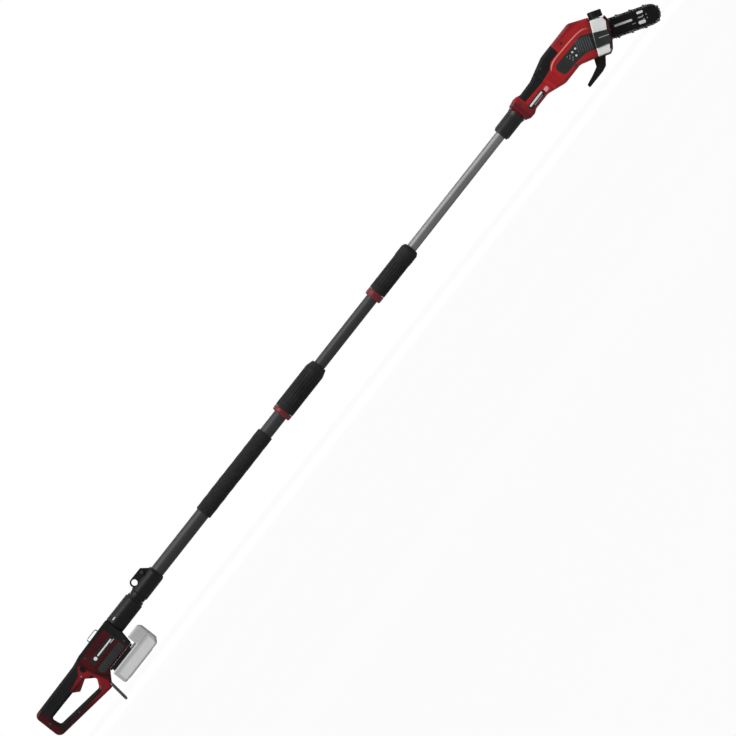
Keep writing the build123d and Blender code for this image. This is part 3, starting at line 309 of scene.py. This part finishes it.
def bar_material():
    """Black paint, worn to bright steel along the rails the chain runs on."""
    m, nt, bs = new_mat("bar_paint")
    vec = coords(nt)
    slow = noise(nt, vec, 60, 4)
    paint = mix(nt, ramp(nt, slow, 0, 1), (0.003, 0.003, 0.0035),
                (0.006, 0.006, 0.0065))
    steel = mix(nt, ramp(nt, noise(nt, vec, 700, 3), 0, 1),
                (0.25, 0.25, 0.255), (0.45, 0.45, 0.46))
    top = half_plane(nt, B(0, 29.6), (S32, C32), 0.0004)
    low = half_plane(nt, B(0, -8.6), (-S32, -C32), 0.0004)
    rail = math_node(nt, "MAXIMUM", top, low)
    worn = math_node(nt, "MULTIPLY", rail,
                     ramp(nt, noise(nt, vec, 240, 5, 0.7), 0.25, 1.0,
                          0.4, 0.6))
    scratch = ramp(nt, noise(nt, coords(nt, (0.06, 1, 1), (0, math.radians(
        32), 0)), 620, 4, 0.7), 0.0, 0.35, 0.66, 0.8)
    worn = math_node(nt, "MAXIMUM", worn, scratch)
    nt.links.new(mix(nt, worn, paint, steel), bs.inputs["Base Color"])
    nt.links.new(worn, bs.inputs["Metallic"])
    nt.links.new(ramp(nt, slow, 0.32, 0.46), bs.inputs["Roughness"])
    bump(nt, bs, noise(nt, vec, 900, 2), 0.12, 0.0002)
    bs.inputs["Specular IOR Level"].default_value = 0.22
    return m


def head_shell_material():
    """Red housing with painted shade: a shaded copy of the red along the top
    edge and over the neck, the flange darker still.
    """
    m, nt, bs = new_mat("head_red_painted_shading")
    vec = coords(nt)
    slow = noise(nt, vec, 20, 3)
    bright = mix(nt, ramp(nt, slow, 0, 1), shade(BRIGHT, 0.85),
                 shade(BRIGHT, 1.2))
    dark = mix(nt, ramp(nt, slow, 0, 1), shade(MID_RED, 0.9),
               shade(MID_RED, 1.3))
    # painted shade: shaded copy of the red on the top edge and the neck
    top = half_plane(nt, D(250, 24), (0.12, 1), 0.003)
    neck = half_plane(nt, D(92, 0), (-1, 0), 0.006)
    fac = math_node(nt, "MAXIMUM", top, neck)
    col = mix(nt, fac, bright, dark)
    # painted shade: the flange darkened further
    flange_shade = half_plane(nt, D(78, 0), (-1, 0), 0.004)
    col = mix(nt, math_node(nt, "MULTIPLY", flange_shade, 0.55), col,
              (0.06, 0.004, 0.007))
    nt.links.new(col, bs.inputs["Base Color"])
    scuff = noise(nt, coords(nt, (1, 1, 3)), 120, 5, 0.65)
    nt.links.new(ramp(nt, scuff, 0.28, 0.44), bs.inputs["Roughness"])
    bump(nt, bs, noise(nt, vec, 1300, 2), 0.22, 0.00025)
    bs.inputs["Coat Weight"].default_value = 0.04
    bs.inputs["Coat Roughness"].default_value = 0.3
    bs.inputs["Specular IOR Level"].default_value = 0.28
    return m


MAT = {
    "red": plastic("red_plastic", BRIGHT, 0.38, coat=0.15),
    "dark_red": plastic("dark_red_plastic", DARK_RED, 0.4, coat=0.1),
    # painted highlight colour for the head crease bead
    "highlight_red": plastic("light_red_plastic", (0.72, 0.20, 0.18), 0.34,
                         coat=0.1),
    "mid_red": plastic("mid_red_plastic", MID_RED, 0.38, coat=0.08),
    "ring_red": plastic("ring_red_plastic", (0.16, 0.012, 0.018), 0.4,
                        coat=0.05),
    "handle": handle_shell_material(),
    "head": head_shell_material(),
    "black": plastic("black_plastic", (0.0045, 0.0045, 0.005), 0.4, 0.35,
                     spec=0.26),
    "black_gloss": plastic("black_gloss_plastic", (0.010, 0.010, 0.011), 0.24,
                           0.3, strength=0.1, coat=0.3),
    "insert": plastic("grey_insert", (0.024, 0.026, 0.026), 0.44, 0.35),
    "vent": plastic("vent_grey", (0.075, 0.08, 0.09), 0.4, 0.25),
    "grip": rubber("soft_grip", (0.0055, 0.0055, 0.006)),
    "cable": rubber("cable_rubber", (0.02, 0.02, 0.02), 0.6, 500, 0.2),
    "foam": foam("grip_foam", (0.0115, 0.0115, 0.012)),
    "sleeve": rubber("sleeve_rubber", (0.0105, 0.0105, 0.011)),
    "nut": plastic("nut_plastic", (0.012, 0.012, 0.0125), 0.42, 0.3,
                   spec=0.3),
    "pack": pack_material(),
    "pack_dark": plastic("battery_mid_grey", (0.24, 0.245, 0.25), 0.5, 0.1),
    "tank": plastic("tank_plastic", (0.93, 0.91, 0.89), 0.36, 0.04,
                    grain=700, strength=0.15, sub=0.2, trans=0.05),
    "dark_tube": metal("dark_anodised_tube", (0.056, 0.056, 0.059), 0.5,
                       (0.02, 1, 1), 420, metallic=0.7, var=0.12,
                       strength=0.05),
    "alu": metal("drawn_aluminium", (0.275, 0.277, 0.281), 0.52,
                 (0.02, 1, 1), 420, var=0.2, strength=0.08),
    "steel": metal("bright_steel", (0.62, 0.62, 0.63), 0.26, (1, 1, 12), 160),
    "wire": metal("wire_steel", (0.55, 0.55, 0.56), 0.28, (1, 1, 1), 500),
    "foot": metal("foot_wire_steel", (0.16, 0.16, 0.165), 0.34, (1, 1, 1),
                  500),
    "screw": metal("blackened_screw", (0.10, 0.10, 0.105), 0.38, (1, 1, 1),
                   700),
    "chain": metal("chain_steel", (0.035, 0.035, 0.037), 0.38, (1, 1, 1), 320,
                   var=0.35, strength=0.3, metallic=0.8),
    "cutter": metal("cutter_steel", (0.17, 0.17, 0.175), 0.32, (1, 1, 1), 320,
                    var=0.35, strength=0.3),
    "bar": bar_material(),
    "cast": metal("cast_metal", (0.42, 0.43, 0.44), 0.5, (1, 1, 1), 420,
                  var=0.2, strength=0.5),
    "brass": metal("contact_brass", (0.72, 0.50, 0.20), 0.3, (1, 1, 1), 400),
    "board": plastic("solder_mask", (0.02, 0.14, 0.05), 0.3, 0.3, 500, 0.2,
                     coat=0.4),
    "cell": plastic("cell_wrap", (0.04, 0.16, 0.30), 0.25, 0.15, 300, 0.1,
                    coat=0.5),
    "white": plastic("white_print", (0.80, 0.80, 0.80), 0.4, 0.06, 900, 0.1),
    "grey_mark": plastic("grey_print", (0.32, 0.33, 0.33), 0.45, 0.1),
    "pink": plastic("pale_red_print", (0.72, 0.36, 0.36), 0.4, 0.08),
}

LOOK = {
    "handle_shell_left": "handle", "handle_shell_right": "handle",
    "grip_overmould": "grip", "handle_badge_plates": "black_gloss",
    "handle_side_inserts": "insert", "handle_screws": "screw",
    "trigger": "mid_red", "trigger_pin": "steel", "trigger_spring": "steel",
    "lock_off_button": "black", "switch_module": "black",
    "controller_board": "board", "battery_rail": "black",
    "battery_terminals": "brass", "hanging_loop": "wire",
    "stand_foot": "foot", "pole_socket": "black", "strap_clamp": "black",
    "strap_clamp_screw": "screw", "lower_tube": "dark_tube",
    "foam_grip": "foam", "lower_lock_ring": "ring_red",
    "lower_lock_collet": "black", "coiled_lead": "cable",
    "lower_lock_sleeve": "sleeve", "middle_tube": "dark_tube",
    "middle_tube_bush": "black", "upper_lock_ring": "ring_red",
    "upper_lock_collet": "black", "upper_lock_sleeve": "sleeve",
    "upper_tube": "alu", "upper_tube_bush": "black",
    "tube_connector": "black", "coupling_nut": "nut",
    "battery_case": "pack", "battery_cells": "cell",
    "battery_latch_button": "pack_dark", "head_shell_left": "head",
    "head_shell_right": "head", "head_soft_top": "grip",
    "head_side_panels": "insert", "head_screws": "screw",
    "motor_can": "cast", "gearbox_housing": "dark_red",
    "bar_plate": "steel", "shaft_bearings": "steel", "oil_tank": "tank",
    "oil_pump": "black", "tank_side_cover": "insert",
    "branch_hook": "black", "saw_chain": "chain", "oil_cap": "black",
    "motor_rotor": "steel", "drive_gear": "steel", "drive_shaft": "steel",
    "drive_sprocket": "chain", "guide_bar": "bar", "nose_sprocket": "chain",
    "sprocket_cover": "black", "cover_knob": "mid_red",
}
for name, obj in NODES.items():
    look = MAT[LOOK[name]]
    if obj.material_slots:
        for sl in obj.material_slots:
            sl.material = look
    else:
        obj.data.materials.append(look)


# ------------------------------------------------------------ mesh helpers
def add_mesh(name, bm, look, body, smooth=True):
    me = bpy.data.meshes.new(name)
    bmesh.ops.recalc_face_normals(bm, faces=bm.faces)
    bm.to_mesh(me)
    bm.free()
    ob = bpy.data.objects.new(name, me)
    bpy.context.scene.collection.objects.link(ob)
    me.materials.append(MAT[look])
    if smooth:
        for p in me.polygons:
            p.use_smooth = True
        try:
            me.set_sharp_from_angle(angle=math.radians(38))
        except Exception:
            pass
    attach(ob, body)
    return ob


def prism(bm, outline, to, y0, y1, edge=0.0, seg=2):
    """Plate from a side-view outline, y0 to y1, with rounded outer edges."""
    lo = [bm.verts.new(to(a, b, y0)) for a, b in outline]
    hi = [bm.verts.new(to(a, b, y1)) for a, b in outline]
    n = len(outline)
    f0 = bm.faces.new(lo)
    f1 = bm.faces.new(list(reversed(hi)))
    for i in range(n):
        bm.faces.new((lo[i], hi[i], hi[(i + 1) % n], lo[(i + 1) % n]))
    if edge:
        es = list(f0.edges) + list(f1.edges)
        bmesh.ops.bevel(bm, geom=es, offset=edge / 1000, segments=seg,
                        profile=0.6, affect="EDGES", clamp_overlap=True)


def slot_outline(a, b, length, width, angle=0.0, seg=8):
    """Rounded bar centred on (a, b)."""
    pts = []
    r = width / 2
    h = max(length / 2 - r, 0.0)
    for side in (1, -1):
        for k in range(seg + 1):
            t = -math.pi / 2 + math.pi * k / seg
            pts.append((side * (h + r * math.cos(t)), side * r * math.sin(t)))
    ca, sa = math.cos(angle), math.sin(angle)
    return [(a + x * ca - y * sa, b + x * sa + y * ca) for x, y in pts]


def disc_outline(a, b, r, seg=20):
    return [(a + r * math.cos(2 * math.pi * k / seg),
             b + r * math.sin(2 * math.pi * k / seg)) for k in range(seg)]


def rounded(points, seg=6):
    """Open line of (a, b, radius) with its corners rounded."""
    out = [points[0][:2]]
    for p, q, n in zip(points, points[1:], points[2:]):
        c = Vector(q[:2])
        to_p, to_n = (Vector(p[:2]) - c), (Vector(n[:2]) - c)
        half = to_p.angle(to_n) / 2
        t = min(q[2] / math.tan(half), to_p.length * 0.45,
                to_n.length * 0.45)
        s0, s1 = c + to_p.normalized() * t, c + to_n.normalized() * t
        for k in range(seg + 1):
            f = k / seg
            v = s0 * (1 - f) ** 2 + c * 2 * f * (1 - f) + s1 * f * f
            out.append((v.x, v.y))
    out.append(points[-1][:2])
    return out


def band(path, lo, hi):
    """Strip beside an open line, between two distances to its left."""
    def side(dist):
        res = []
        for i, p in enumerate(path):
            p0, p1 = path[max(i - 1, 0)], path[min(i + 1, len(path) - 1)]
            tx, ty = p1[0] - p0[0], p1[1] - p0[1]
            n = math.hypot(tx, ty)
            res.append((p[0] - ty / n * dist, p[1] + tx / n * dist))
        return res
    return side(lo) + side(hi)[::-1]


def lathe(bm, rows, seg=72, closed=True, wave=None):
    """Surface of revolution about the pole from rows of (u, r)."""
    rings = []
    for u, r in rows:
        ringv = []
        for k in range(seg):
            t = 2 * math.pi * k / seg
            rr = r if wave is None else wave(u, r, t)
            ringv.append(bm.verts.new(H(u, rr * math.cos(t),
                                        rr * math.sin(t))))
        rings.append(ringv)
    n = len(rings)
    for i in range(n if closed else n - 1):
        a, b = rings[i], rings[(i + 1) % n]
        for k in range(seg):
            bm.faces.new((a[k], a[(k + 1) % seg], b[(k + 1) % seg], b[k]))


def tube_piece(name, pts, radius, look, body, res=10):
    """Round bead along a smooth line."""
    cu = bpy.data.curves.new(name, "CURVE")
    cu.dimensions = "3D"
    sp = cu.splines.new("NURBS")
    sp.points.add(len(pts) - 1)
    for i, (p, v) in enumerate(zip(sp.points, pts)):
        p.co = (*v, 1.0)
        p.radius = 0.35 if i in (0, len(pts) - 1) else 1.0
    sp.use_endpoint_u = True
    sp.order_u = 3
    cu.resolution_u = res
    cu.bevel_depth = radius / 1000
    cu.bevel_resolution = 4
    cu.use_fill_caps = True
    tmp = bpy.data.objects.new(name + "_line", cu)
    me = bpy.data.meshes.new_from_object(tmp)
    bpy.data.objects.remove(tmp)
    me.name = name
    ob = bpy.data.objects.new(name, me)
    bpy.context.scene.collection.objects.link(ob)
    me.materials.clear()
    me.materials.append(MAT[look])
    for p in me.polygons:
        p.use_smooth = True
    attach(ob, body)
    return ob


# ------------------------------------------------------------------ handle
Y_BODY = 25.0
# badge: generic round mark and a plain strip, on both sides
for tag, sy in (("right", -1), ("left", 1)):
    bm = bmesh.new()
    prism(bm, disc_outline(184.8, -12.5, 4.2, 24), H, sy * 24.9, sy * 25.25,
          0.12)
    prism(bm, slot_outline(216, -12.2, 48, 3.4), H, sy * 24.9, sy * 25.25,
          0.12)
    prism(bm, slot_outline(238, -16.6, 12, 1.2), H, sy * 24.9, sy * 25.2,
          0.1)
    add_mesh("handle_badge_marks_" + tag, bm, "white", "handle")
    # upright ribs in the insert below
    bm = bmesh.new()
    for i in range(9):
        u = 176 + 7.6 * i
        prism(bm, slot_outline(u, -38.3, 11.5, 2.6, math.radians(84)), H,
              sy * 24.8, sy * 25.9, 0.5)
    add_mesh("handle_insert_ribs_" + tag, bm, "insert", "handle")
# row of soft ribs under the fingers
bm = bmesh.new()
for i in range(9):
    u = 32 + 6.2 * i
    pts = []
    prism(bm, slot_outline(u, -17.9, 2.6, 2.0), H, -9.5, 9.5, 0.6)
add_mesh("grip_finger_ribs", bm, "grip", "handle")

# ------------------------------------------------------------- foam sleeve
bm = bmesh.new()
rows = [(582.3, 15.6), (582.0, 17.6)]
for k in range(7):
    t = math.pi / 2 * k / 6
    rows.append((582 + 2.0 - 2.0 * math.cos(t), 17.4 + 1.7 * math.sin(t)))
for k in range(1, 72):
    rows.append((584 + 218 * k / 72, 19.1))
for k in range(7):
    t = math.pi / 2 * (1 - k / 6)
    rows.append((804 - 2.0 + 2.0 * math.cos(t), 17.4 + 1.7 * math.sin(t)))
rows += [(803.7, 15.6)]


def foam_wave(u, r, t):
    if r < 18.5:
        return r
    return r - 0.22 + 0.18 * math.sin(u * 0.21 + 2 * math.sin(t)) \
        + 0.12 * math.sin(3 * t + u * 0.05)


lathe(bm, rows, 72, True, foam_wave)
ob = add_mesh("foam_sleeve", bm, "foam", "handle")
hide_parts("foam_grip")

# --------------------------------------------------------------------- head
# painted highlight: a light red bead standing for the light caught along the
# crease that divides the dark panel from the red back
for tag, sy in (("right", -1), ("left", 1)):
    end = [(296, 0.5), (303, -6.0)] if sy < 0 else [(262, 5.4), (268, 4.2)]
    line = [(177, -2.5), (183, 2.5), (193, 7.2), (206, 9.0), (232, 8.4),
            (256, 7.4), (282, 5.2)][: 7 if sy < 0 else 6] + end
    tube_piece("head_crease_highlight_" + tag, [D(u, w, sy * 28.9) for u, w in line],
               2.2, "highlight_red", "head")
# side panel furniture: three light buttons, small marks, vent slats
for tag, sy in (("right", -1), ("left", 1)):
    bm = bmesh.new()
    for u, w in ((240, -11.5), (250, -11.5), (240, -23)):
        prism(bm, disc_outline(u, w, 2.3), D, sy * 29.8, sy * 30.5, 0.3)
    add_mesh("panel_studs_" + tag, bm, "white", "head")
    bm = bmesh.new()
    for u, w in ((225, -9), (231, -12.5), (226, -16), (232, -19.5),
                 (228, -23)):
        prism(bm, slot_outline(u, w, 4.2, 1.6, math.radians(20)), D,
              sy * 29.8, sy * 30.25, 0.15)
    add_mesh("panel_marks_" + tag, bm, "grey_mark", "head")
bm = bmesh.new()
for i in range(7):
    a = -80 + 5.2 * i
    prism(bm, slot_outline(a, -3.2, 33 - abs(i - 3.5) * 1.2, 2.6,
                           math.radians(90)), B, -29.9, -30.6, 0.35)
add_mesh("vent_slats_right", bm, "vent", "head")

# neck label: dark plate with a plain light strip, pale mark in front of it
for tag, sy in (("right", -1), ("left", 1)):
    bm = bmesh.new()
    prism(bm, slot_outline(110, -14.6, 50, 14.5), D, sy * 19.6, sy * 20.5,
          0.35)
    add_mesh("neck_label_plate_" + tag, bm, "black_gloss", "head")
    bm = bmesh.new()
    prism(bm, slot_outline(110, -12.6, 42, 4.6), D, sy * 20.4, sy * 20.75,
          0.12)
    add_mesh("neck_label_strip_" + tag, bm, "white", "head")
    bm = bmesh.new()
    prism(bm, slot_outline(112, -18.6, 28, 1.6), D, sy * 20.4, sy * 20.7,
          0.12)
    add_mesh("neck_label_line_" + tag, bm, "grey_mark", "head")
    bm = bmesh.new()
    square = [(147.5, -12.0), (147.0, -20.5), (136.8, -21.5), (136.2, -12.4)]
    square = rounded([(142, -11.6, 0)] + [(a, b, 1.2) for a, b in square]
                     + [(141, -11.6, 0)])
    prism(bm, square, D, sy * 19.6, sy * 20.4, 0.3)
    add_mesh("neck_pale_mark_" + tag, bm, "pink", "head")

# light line on the tank's side cover
bm = bmesh.new()
prism(bm, slot_outline(-17, -0.8, 24, 2.2), B, -30.3, -30.75, 0.12)
add_mesh("tank_cover_mark", bm, "grey_mark", "head")

# dark red rim round the front of the tank


FRONT = rounded([(-2.6, 41.5, 0), (-1.5, 40.4, 1), (3, 30, 5), (-2.5, 6, 8),
                 (-3, -11, 8), (-9, -32, 8), (-15, -39, 6), (-30, -39, 0)])
bm = bmesh.new()
prism(bm, band(FRONT, 0.1, 1.9), B, -25.6, -9.0, 0.4)
add_mesh("tank_front_rim", bm, "dark_red", "head")
bm = bmesh.new()
prism(bm, band(FRONT[:-8], -4.6, 1.6), B, -27.47, -24.0, 0.5)
add_mesh("tank_front_lip", bm, "dark_red", "head")

# ---------------------------------------------------------- bar and chain
# plain marks on both faces of the bar
for tag, y0, y1 in (("right", 10.05, 9.88), ("left", 13.95, 14.12)):
    bm = bmesh.new()
    prism(bm, slot_outline(34, 13, 42, 5.0), B, y0, y1, 0.05)
    prism(bm, slot_outline(76, 23, 15, 5.5), B, y0, y1, 0.05)
    prism(bm, slot_outline(74.5, 1, 17, 7.5), B, y0, y1, 0.05)
    add_mesh("bar_marks_" + tag, bm, "white", "bar")
    bm = bmesh.new()
    prism(bm, slot_outline(74, 12.5, 12, 3.0), B, y0, y1, 0.05)
    prism(bm, slot_outline(56, 3.5, 9, 1.4), B, y0, y1, 0.05)
    add_mesh("bar_small_marks_" + tag, bm, "grey_mark", "bar")
# rivets of the nose
bm = bmesh.new()
for k in range(4):
    t = math.pi / 4 + math.pi / 2 * k
    prism(bm, disc_outline(84 + 5.5 * math.cos(t), 10.5 + 5.5 * math.sin(t),
                           1.5, 14), B, 9.85, 14.15, 0.12)
add_mesh("bar_nose_rivets", bm, "steel", "bar")

# chain: the centre line of the rivets, once round
DRV, NOSE, SHO, BB = -33.0, 96.5, 8.0, 10.5
R_D, R_N = 16.4, 21.9


def hull_path():
    """Points round the closed loop, about every 0.4 mm."""
    phi = math.asin((R_N - R_D) / (SHO - DRV))
    pts = []

    def arc(cx, r, t0, t1):
        n = max(2, int(abs(t1 - t0) * r / 0.4))
        for k in range(n):
            t = t0 + (t1 - t0) * k / n
            pts.append((cx + r * math.cos(t), BB + r * math.sin(t)))

    def line(p, q):
        n = max(2, int(math.dist(p, q) / 0.4))
        for k in range(n):
            pts.append((p[0] + (q[0] - p[0]) * k / n,
                        p[1] + (q[1] - p[1]) * k / n))

    t_up = math.pi / 2 + phi
    arc(NOSE, R_N, -math.pi / 2, math.pi / 2)
    line((NOSE, BB + R_N), (SHO, BB + R_N))
    arc(SHO, R_N, math.pi / 2, t_up)
    p = (SHO + R_N * math.cos(t_up), BB + R_N * math.sin(t_up))
    q = (DRV + R_D * math.cos(t_up), BB + R_D * math.sin(t_up))
    line(p, q)
    arc(DRV, R_D, t_up, 2 * math.pi - t_up)
    q2 = (DRV + R_D * math.cos(t_up), BB - R_D * math.sin(t_up))
    p2 = (SHO + R_N * math.cos(t_up), BB - R_N * math.sin(t_up))
    line(q2, p2)
    arc(SHO, R_N, 2 * math.pi - t_up, 1.5 * math.pi)
    line((SHO, BB - R_N), (NOSE, BB - R_N))
    return pts


loop = hull_path()
cum = [0.0]
for i in range(len(loop)):
    cum.append(cum[-1] + math.dist(loop[i], loop[(i + 1) % len(loop)]))
TOTAL = cum[-1]
LINKS = int(round(TOTAL / 8.0 / 4)) * 4
PITCH = TOTAL / LINKS


def at(sdist):
    sdist %= TOTAL
    lo, hi = 0, len(loop)
    while hi - lo > 1:
        mid = (lo + hi) // 2
        if cum[mid] <= sdist:
            lo = mid
        else:
            hi = mid
    p, q = loop[lo % len(loop)], loop[(lo + 1) % len(loop)]
    seg = max(1e-6, cum[lo + 1] - cum[lo])
    f = (sdist - cum[lo]) / seg
    return (p[0] + (q[0] - p[0]) * f, p[1] + (q[1] - p[1]) * f)


def link_frame(i):
    p, q = at(i * PITCH), at((i + 1) * PITCH)
    mx, my = (p[0] + q[0]) / 2, (p[1] + q[1]) / 2
    tx, ty = q[0] - p[0], q[1] - p[1]
    n = math.hypot(tx, ty)
    tx, ty = tx / n, ty / n
    # outward is to the right of travel
    ox, oy = ty, -tx
    return lambda along, out: (mx + tx * along + ox * out,
                               my + ty * along + oy * out)


def tie(fr, length=8.0, w=4.2):
    """Tie strap outline with a waist."""
    h = length / 2
    pts = []
    for side in (1, -1):
        for k in range(7):
            t = -math.pi / 2 + math.pi * k / 6
            pts.append((side * (h + w / 2 * math.cos(t)),
                        side * w / 2 * math.sin(t)))
        pts.append((0, side * (w / 2 - 0.45)))
    return [fr(x, y) for x, y in pts]


bm_straps, bm_drive, bm_cut, bm_riv = (bmesh.new() for _ in range(4))
for i in range(LINKS):
    fr = link_frame(i)
    if at((i + 0.5) * PITCH)[0] < -14:
        # on the sprocket: nothing reaches in past its teeth
        deep = fr
        fr = lambda x, y, deep=deep: deep(x, max(y, -1.7))
    if i % 2 == 0:
        # drive link in the middle plane, its tang in the bar's groove
        h = PITCH / 2
        tang = [(-h - 1.9, -0.6), (-h - 0.6, -2.1), (-h + 0.4, -3.0),
                (-1.6, -4.6), (1.2, -4.7), (h - 0.4, -3.0), (h + 0.6, -2.1),
                (h + 1.9, -0.6), (h + 1.9, 0.6), (h + 0.4, 2.0),
                (1.6, 1.4), (-1.6, 1.4), (-h - 0.4, 2.0), (-h - 1.9, 0.6)]
        prism(bm_drive, [fr(x, y) for x, y in tang], B, 11.25, 12.75, 0.12,
              1)
    else:
        kind = (i // 2) % 4
        sides = ((9.5, 11.1), (12.9, 14.5))
        for j, (y0, y1) in enumerate(sides):
            cutter = (kind == 0 and j == 0) or (kind == 2 and j == 1)
            if cutter:
                body = [(-PITCH / 2 - 2, -1.8), (-PITCH / 2, -2.8),
                        (PITCH / 2, -2.8), (PITCH / 2 + 2, -1.8),
                        (PITCH / 2 + 2.1, 0.6), (PITCH / 2 + 0.6, 3.6),
                        (-0.2, 3.2), (-1.0, 1.3), (-2.0, 1.1),
                        (-3.0, 2.2), (-3.8, 3.0), (-5.0, 2.6),
                        (-PITCH / 2 - 2.1, 0.4)]
                prism(bm_cut, [fr(x, y) for x, y in body], B, y0, y1, 0.15, 1)
                # chisel top plate folded over the links
                top = [(-0.1, 3.0), (PITCH / 2 + 0.7, 3.45),
                       (PITCH / 2 + 0.6, 4.05), (-0.1, 3.6)]
                ya, yb = (9.5, 12.6) if j == 0 else (11.4, 14.5)
                prism(bm_cut, [fr(x, y) for x, y in top], B, ya, yb, 0.1, 1)
            else:
                h = PITCH / 2
                strap = [(-h - 1.9, -1.4), (-h, -2.5), (0, -2.9), (h, -2.5),
                         (h + 1.9, -1.4), (h + 2.1, 0.3), (h + 1.2, 1.7),
                         (h - 0.6, 1.9), (0, 1.3), (-h + 0.6, 1.9),
                         (-h - 1.2, 1.7), (-h - 2.1, 0.3)]
                prism(bm_straps, [fr(x, y) for x, y in strap], B, y0, y1,
                      0.15, 1)
    p = at(i * PITCH)
    prism(bm_riv, disc_outline(p[0], p[1], 1.15, 12), B, 9.38, 14.62, 0.15, 1)
chain_ob = add_mesh("chain_tie_straps", bm_straps, "chain", "head")
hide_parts("saw_chain")
add_mesh("chain_drive_links", bm_drive, "chain", "head")
add_mesh("chain_cutters", bm_cut, "cutter", "head")
add_mesh("chain_rivets", bm_riv, "steel", "head")

# ------------------------------------------------------------- battery pack
# grip ribs on the front face, skids underneath, charge lamps at the rear


def P(y, w, x):
    """Point on a cross plane: across, height, distance from the rear."""
    return H(x, w, y)


bm = bmesh.new()
for k in range(4):
    prism(bm, slot_outline(0, -66.5 - 5.2 * k, 46, 2.4), P, 303.4, 304.8,
          0.5)
add_mesh("battery_front_ribs", bm, "pack", "battery")
bm = bmesh.new()
for y in (-20, 20):
    prism(bm, slot_outline(238, y, 78, 5), lambda u, v, w: H(u, w, v),
          -97.2, -98.5, 0.5)
add_mesh("battery_skids", bm, "pack", "battery")
bm = bmesh.new()
for k in range(3):
    prism(bm, slot_outline(-8 + 8 * k, -80, 5, 2.4), P, 184.4, 183.75, 0.2)
add_mesh("battery_charge_lamps", bm, "pack_dark", "battery")

# ---------------------------------------------------------- pole furniture
# small light mark on the socket
bm = bmesh.new()
prism(bm, slot_outline(279, 10, 9, 4), H, -19.2, -20.4, 0.3)
add_mesh("socket_mark", bm, "white", "handle")

# -------------------------------------------------------------------- stage
def flat(name, color, rough):
    m, nt, bs = new_mat(name)
    vec = coords(nt)
    col = mix(nt, ramp(nt, noise(nt, vec, 1.5, 2), 0, 1), shade(color, 0.99),
              shade(color, 1.01))
    nt.links.new(col, bs.inputs["Base Color"])
    bs.inputs["Roughness"].default_value = rough
    return m


bm = bmesh.new()
for x, y in ((-30, -30), (30, -30), (30, 30), (-30, 30)):
    bm.verts.new((x, y, 0))
bm.faces.new(bm.verts)
me = bpy.data.meshes.new("floor")
bm.to_mesh(me)
bm.free()
floor = bpy.data.objects.new("floor", me)
floor.location.z = -0.0004
bpy.context.scene.collection.objects.link(floor)
floor_mat = flat("floor_pale", (0.45, 0.45, 0.45), 0.9)
me.materials.append(floor_mat)
fnt = floor_mat.node_tree
flp = fnt.nodes.new("ShaderNodeLightPath")
glow = fnt.nodes.new("ShaderNodeMapRange")
glow.inputs["To Min"].default_value = 0.0
glow.inputs["To Max"].default_value = 0.64
fnt.links.new(flp.outputs["Is Camera Ray"], glow.inputs["Value"])
fbs = fnt.nodes["Principled BSDF"]
fbs.inputs["Emission Color"].default_value = (1, 1, 1, 1)
fnt.links.new(glow.outputs["Result"], fbs.inputs["Emission Strength"])
fbs.inputs["Specular IOR Level"].default_value = 0.0

bpy.context.scene.view_settings.view_transform = "Standard"
bpy.context.scene.view_settings.look = "None"
world = bpy.data.worlds.new("studio")
bpy.context.scene.world = world
world.use_nodes = True
wnt = world.node_tree
bg = wnt.nodes["Background"]
bg.inputs["Color"].default_value = (1.0, 1.0, 1.0, 1.0)
lp = wnt.nodes.new("ShaderNodeLightPath")
seen = wnt.nodes.new("ShaderNodeMapRange")
seen.inputs["To Min"].default_value = 0.26
seen.inputs["To Max"].default_value = 1.0
wnt.links.new(lp.outputs["Is Camera Ray"], seen.inputs["Value"])
wnt.links.new(seen.outputs["Result"], bg.inputs["Strength"])


def area(name, loc, target, size, power, color=(1, 1, 1)):
    li = bpy.data.lights.new(name, "AREA")
    li.shape = "RECTANGLE"
    li.size, li.size_y = size
    li.energy = power
    li.color = color
    ob = bpy.data.objects.new(name, li)
    bpy.context.scene.collection.objects.link(ob)
    ob.location = loc
    ob.rotation_euler = (Vector(target) - Vector(loc)).to_track_quat(
        "-Z", "Y").to_euler()
    return ob


area("key", (-1.0, -2.0, 3.0), (0, 0, 0.1), (3.0, 0.8), 26)
area("back", (0.4, 2.4, 2.2), (0, 0, 0.1), (3.0, 1.0), 16)
area("top", (0, 0.2, 3.0), (0, 0, 0), (3.4, 0.7), 16)
sun = bpy.data.lights.new("sky", "SUN")
sun.energy = 1.9
sun.angle = math.radians(28)
sun_ob = bpy.data.objects.new("sky", sun)
bpy.context.scene.collection.objects.link(sun_ob)
sun_ob.rotation_euler = Vector((0.42, 0.62, -0.95)).to_track_quat(
    "-Z", "Y").to_euler()

# ------------------------------------------------------------------- camera
cam_data = bpy.data.cameras.new("camera")
cam = bpy.data.objects.new("camera", cam_data)
bpy.context.scene.collection.objects.link(cam)
cam_data.sensor_width = 36.0
cam_data.lens = 500.0
dist = 1.6192 * 500.0 / 36.0
right = Vector((0.61840, 0, -0.78587))
up = Vector((0.78587, 0, 0.61840))
back = right.cross(up)
centre = Vector((0.01765, 0, 0.0339))
pos = centre + back.normalized() * dist
cam.matrix_world = Matrix((
    (right.x, up.x, back.x, pos.x), (right.y, up.y, back.y, pos.y),
    (right.z, up.z, back.z, pos.z), (0, 0, 0, 1)))
cam_data.clip_start = 0.05
cam_data.clip_end = 100
bpy.context.scene.camera = cam
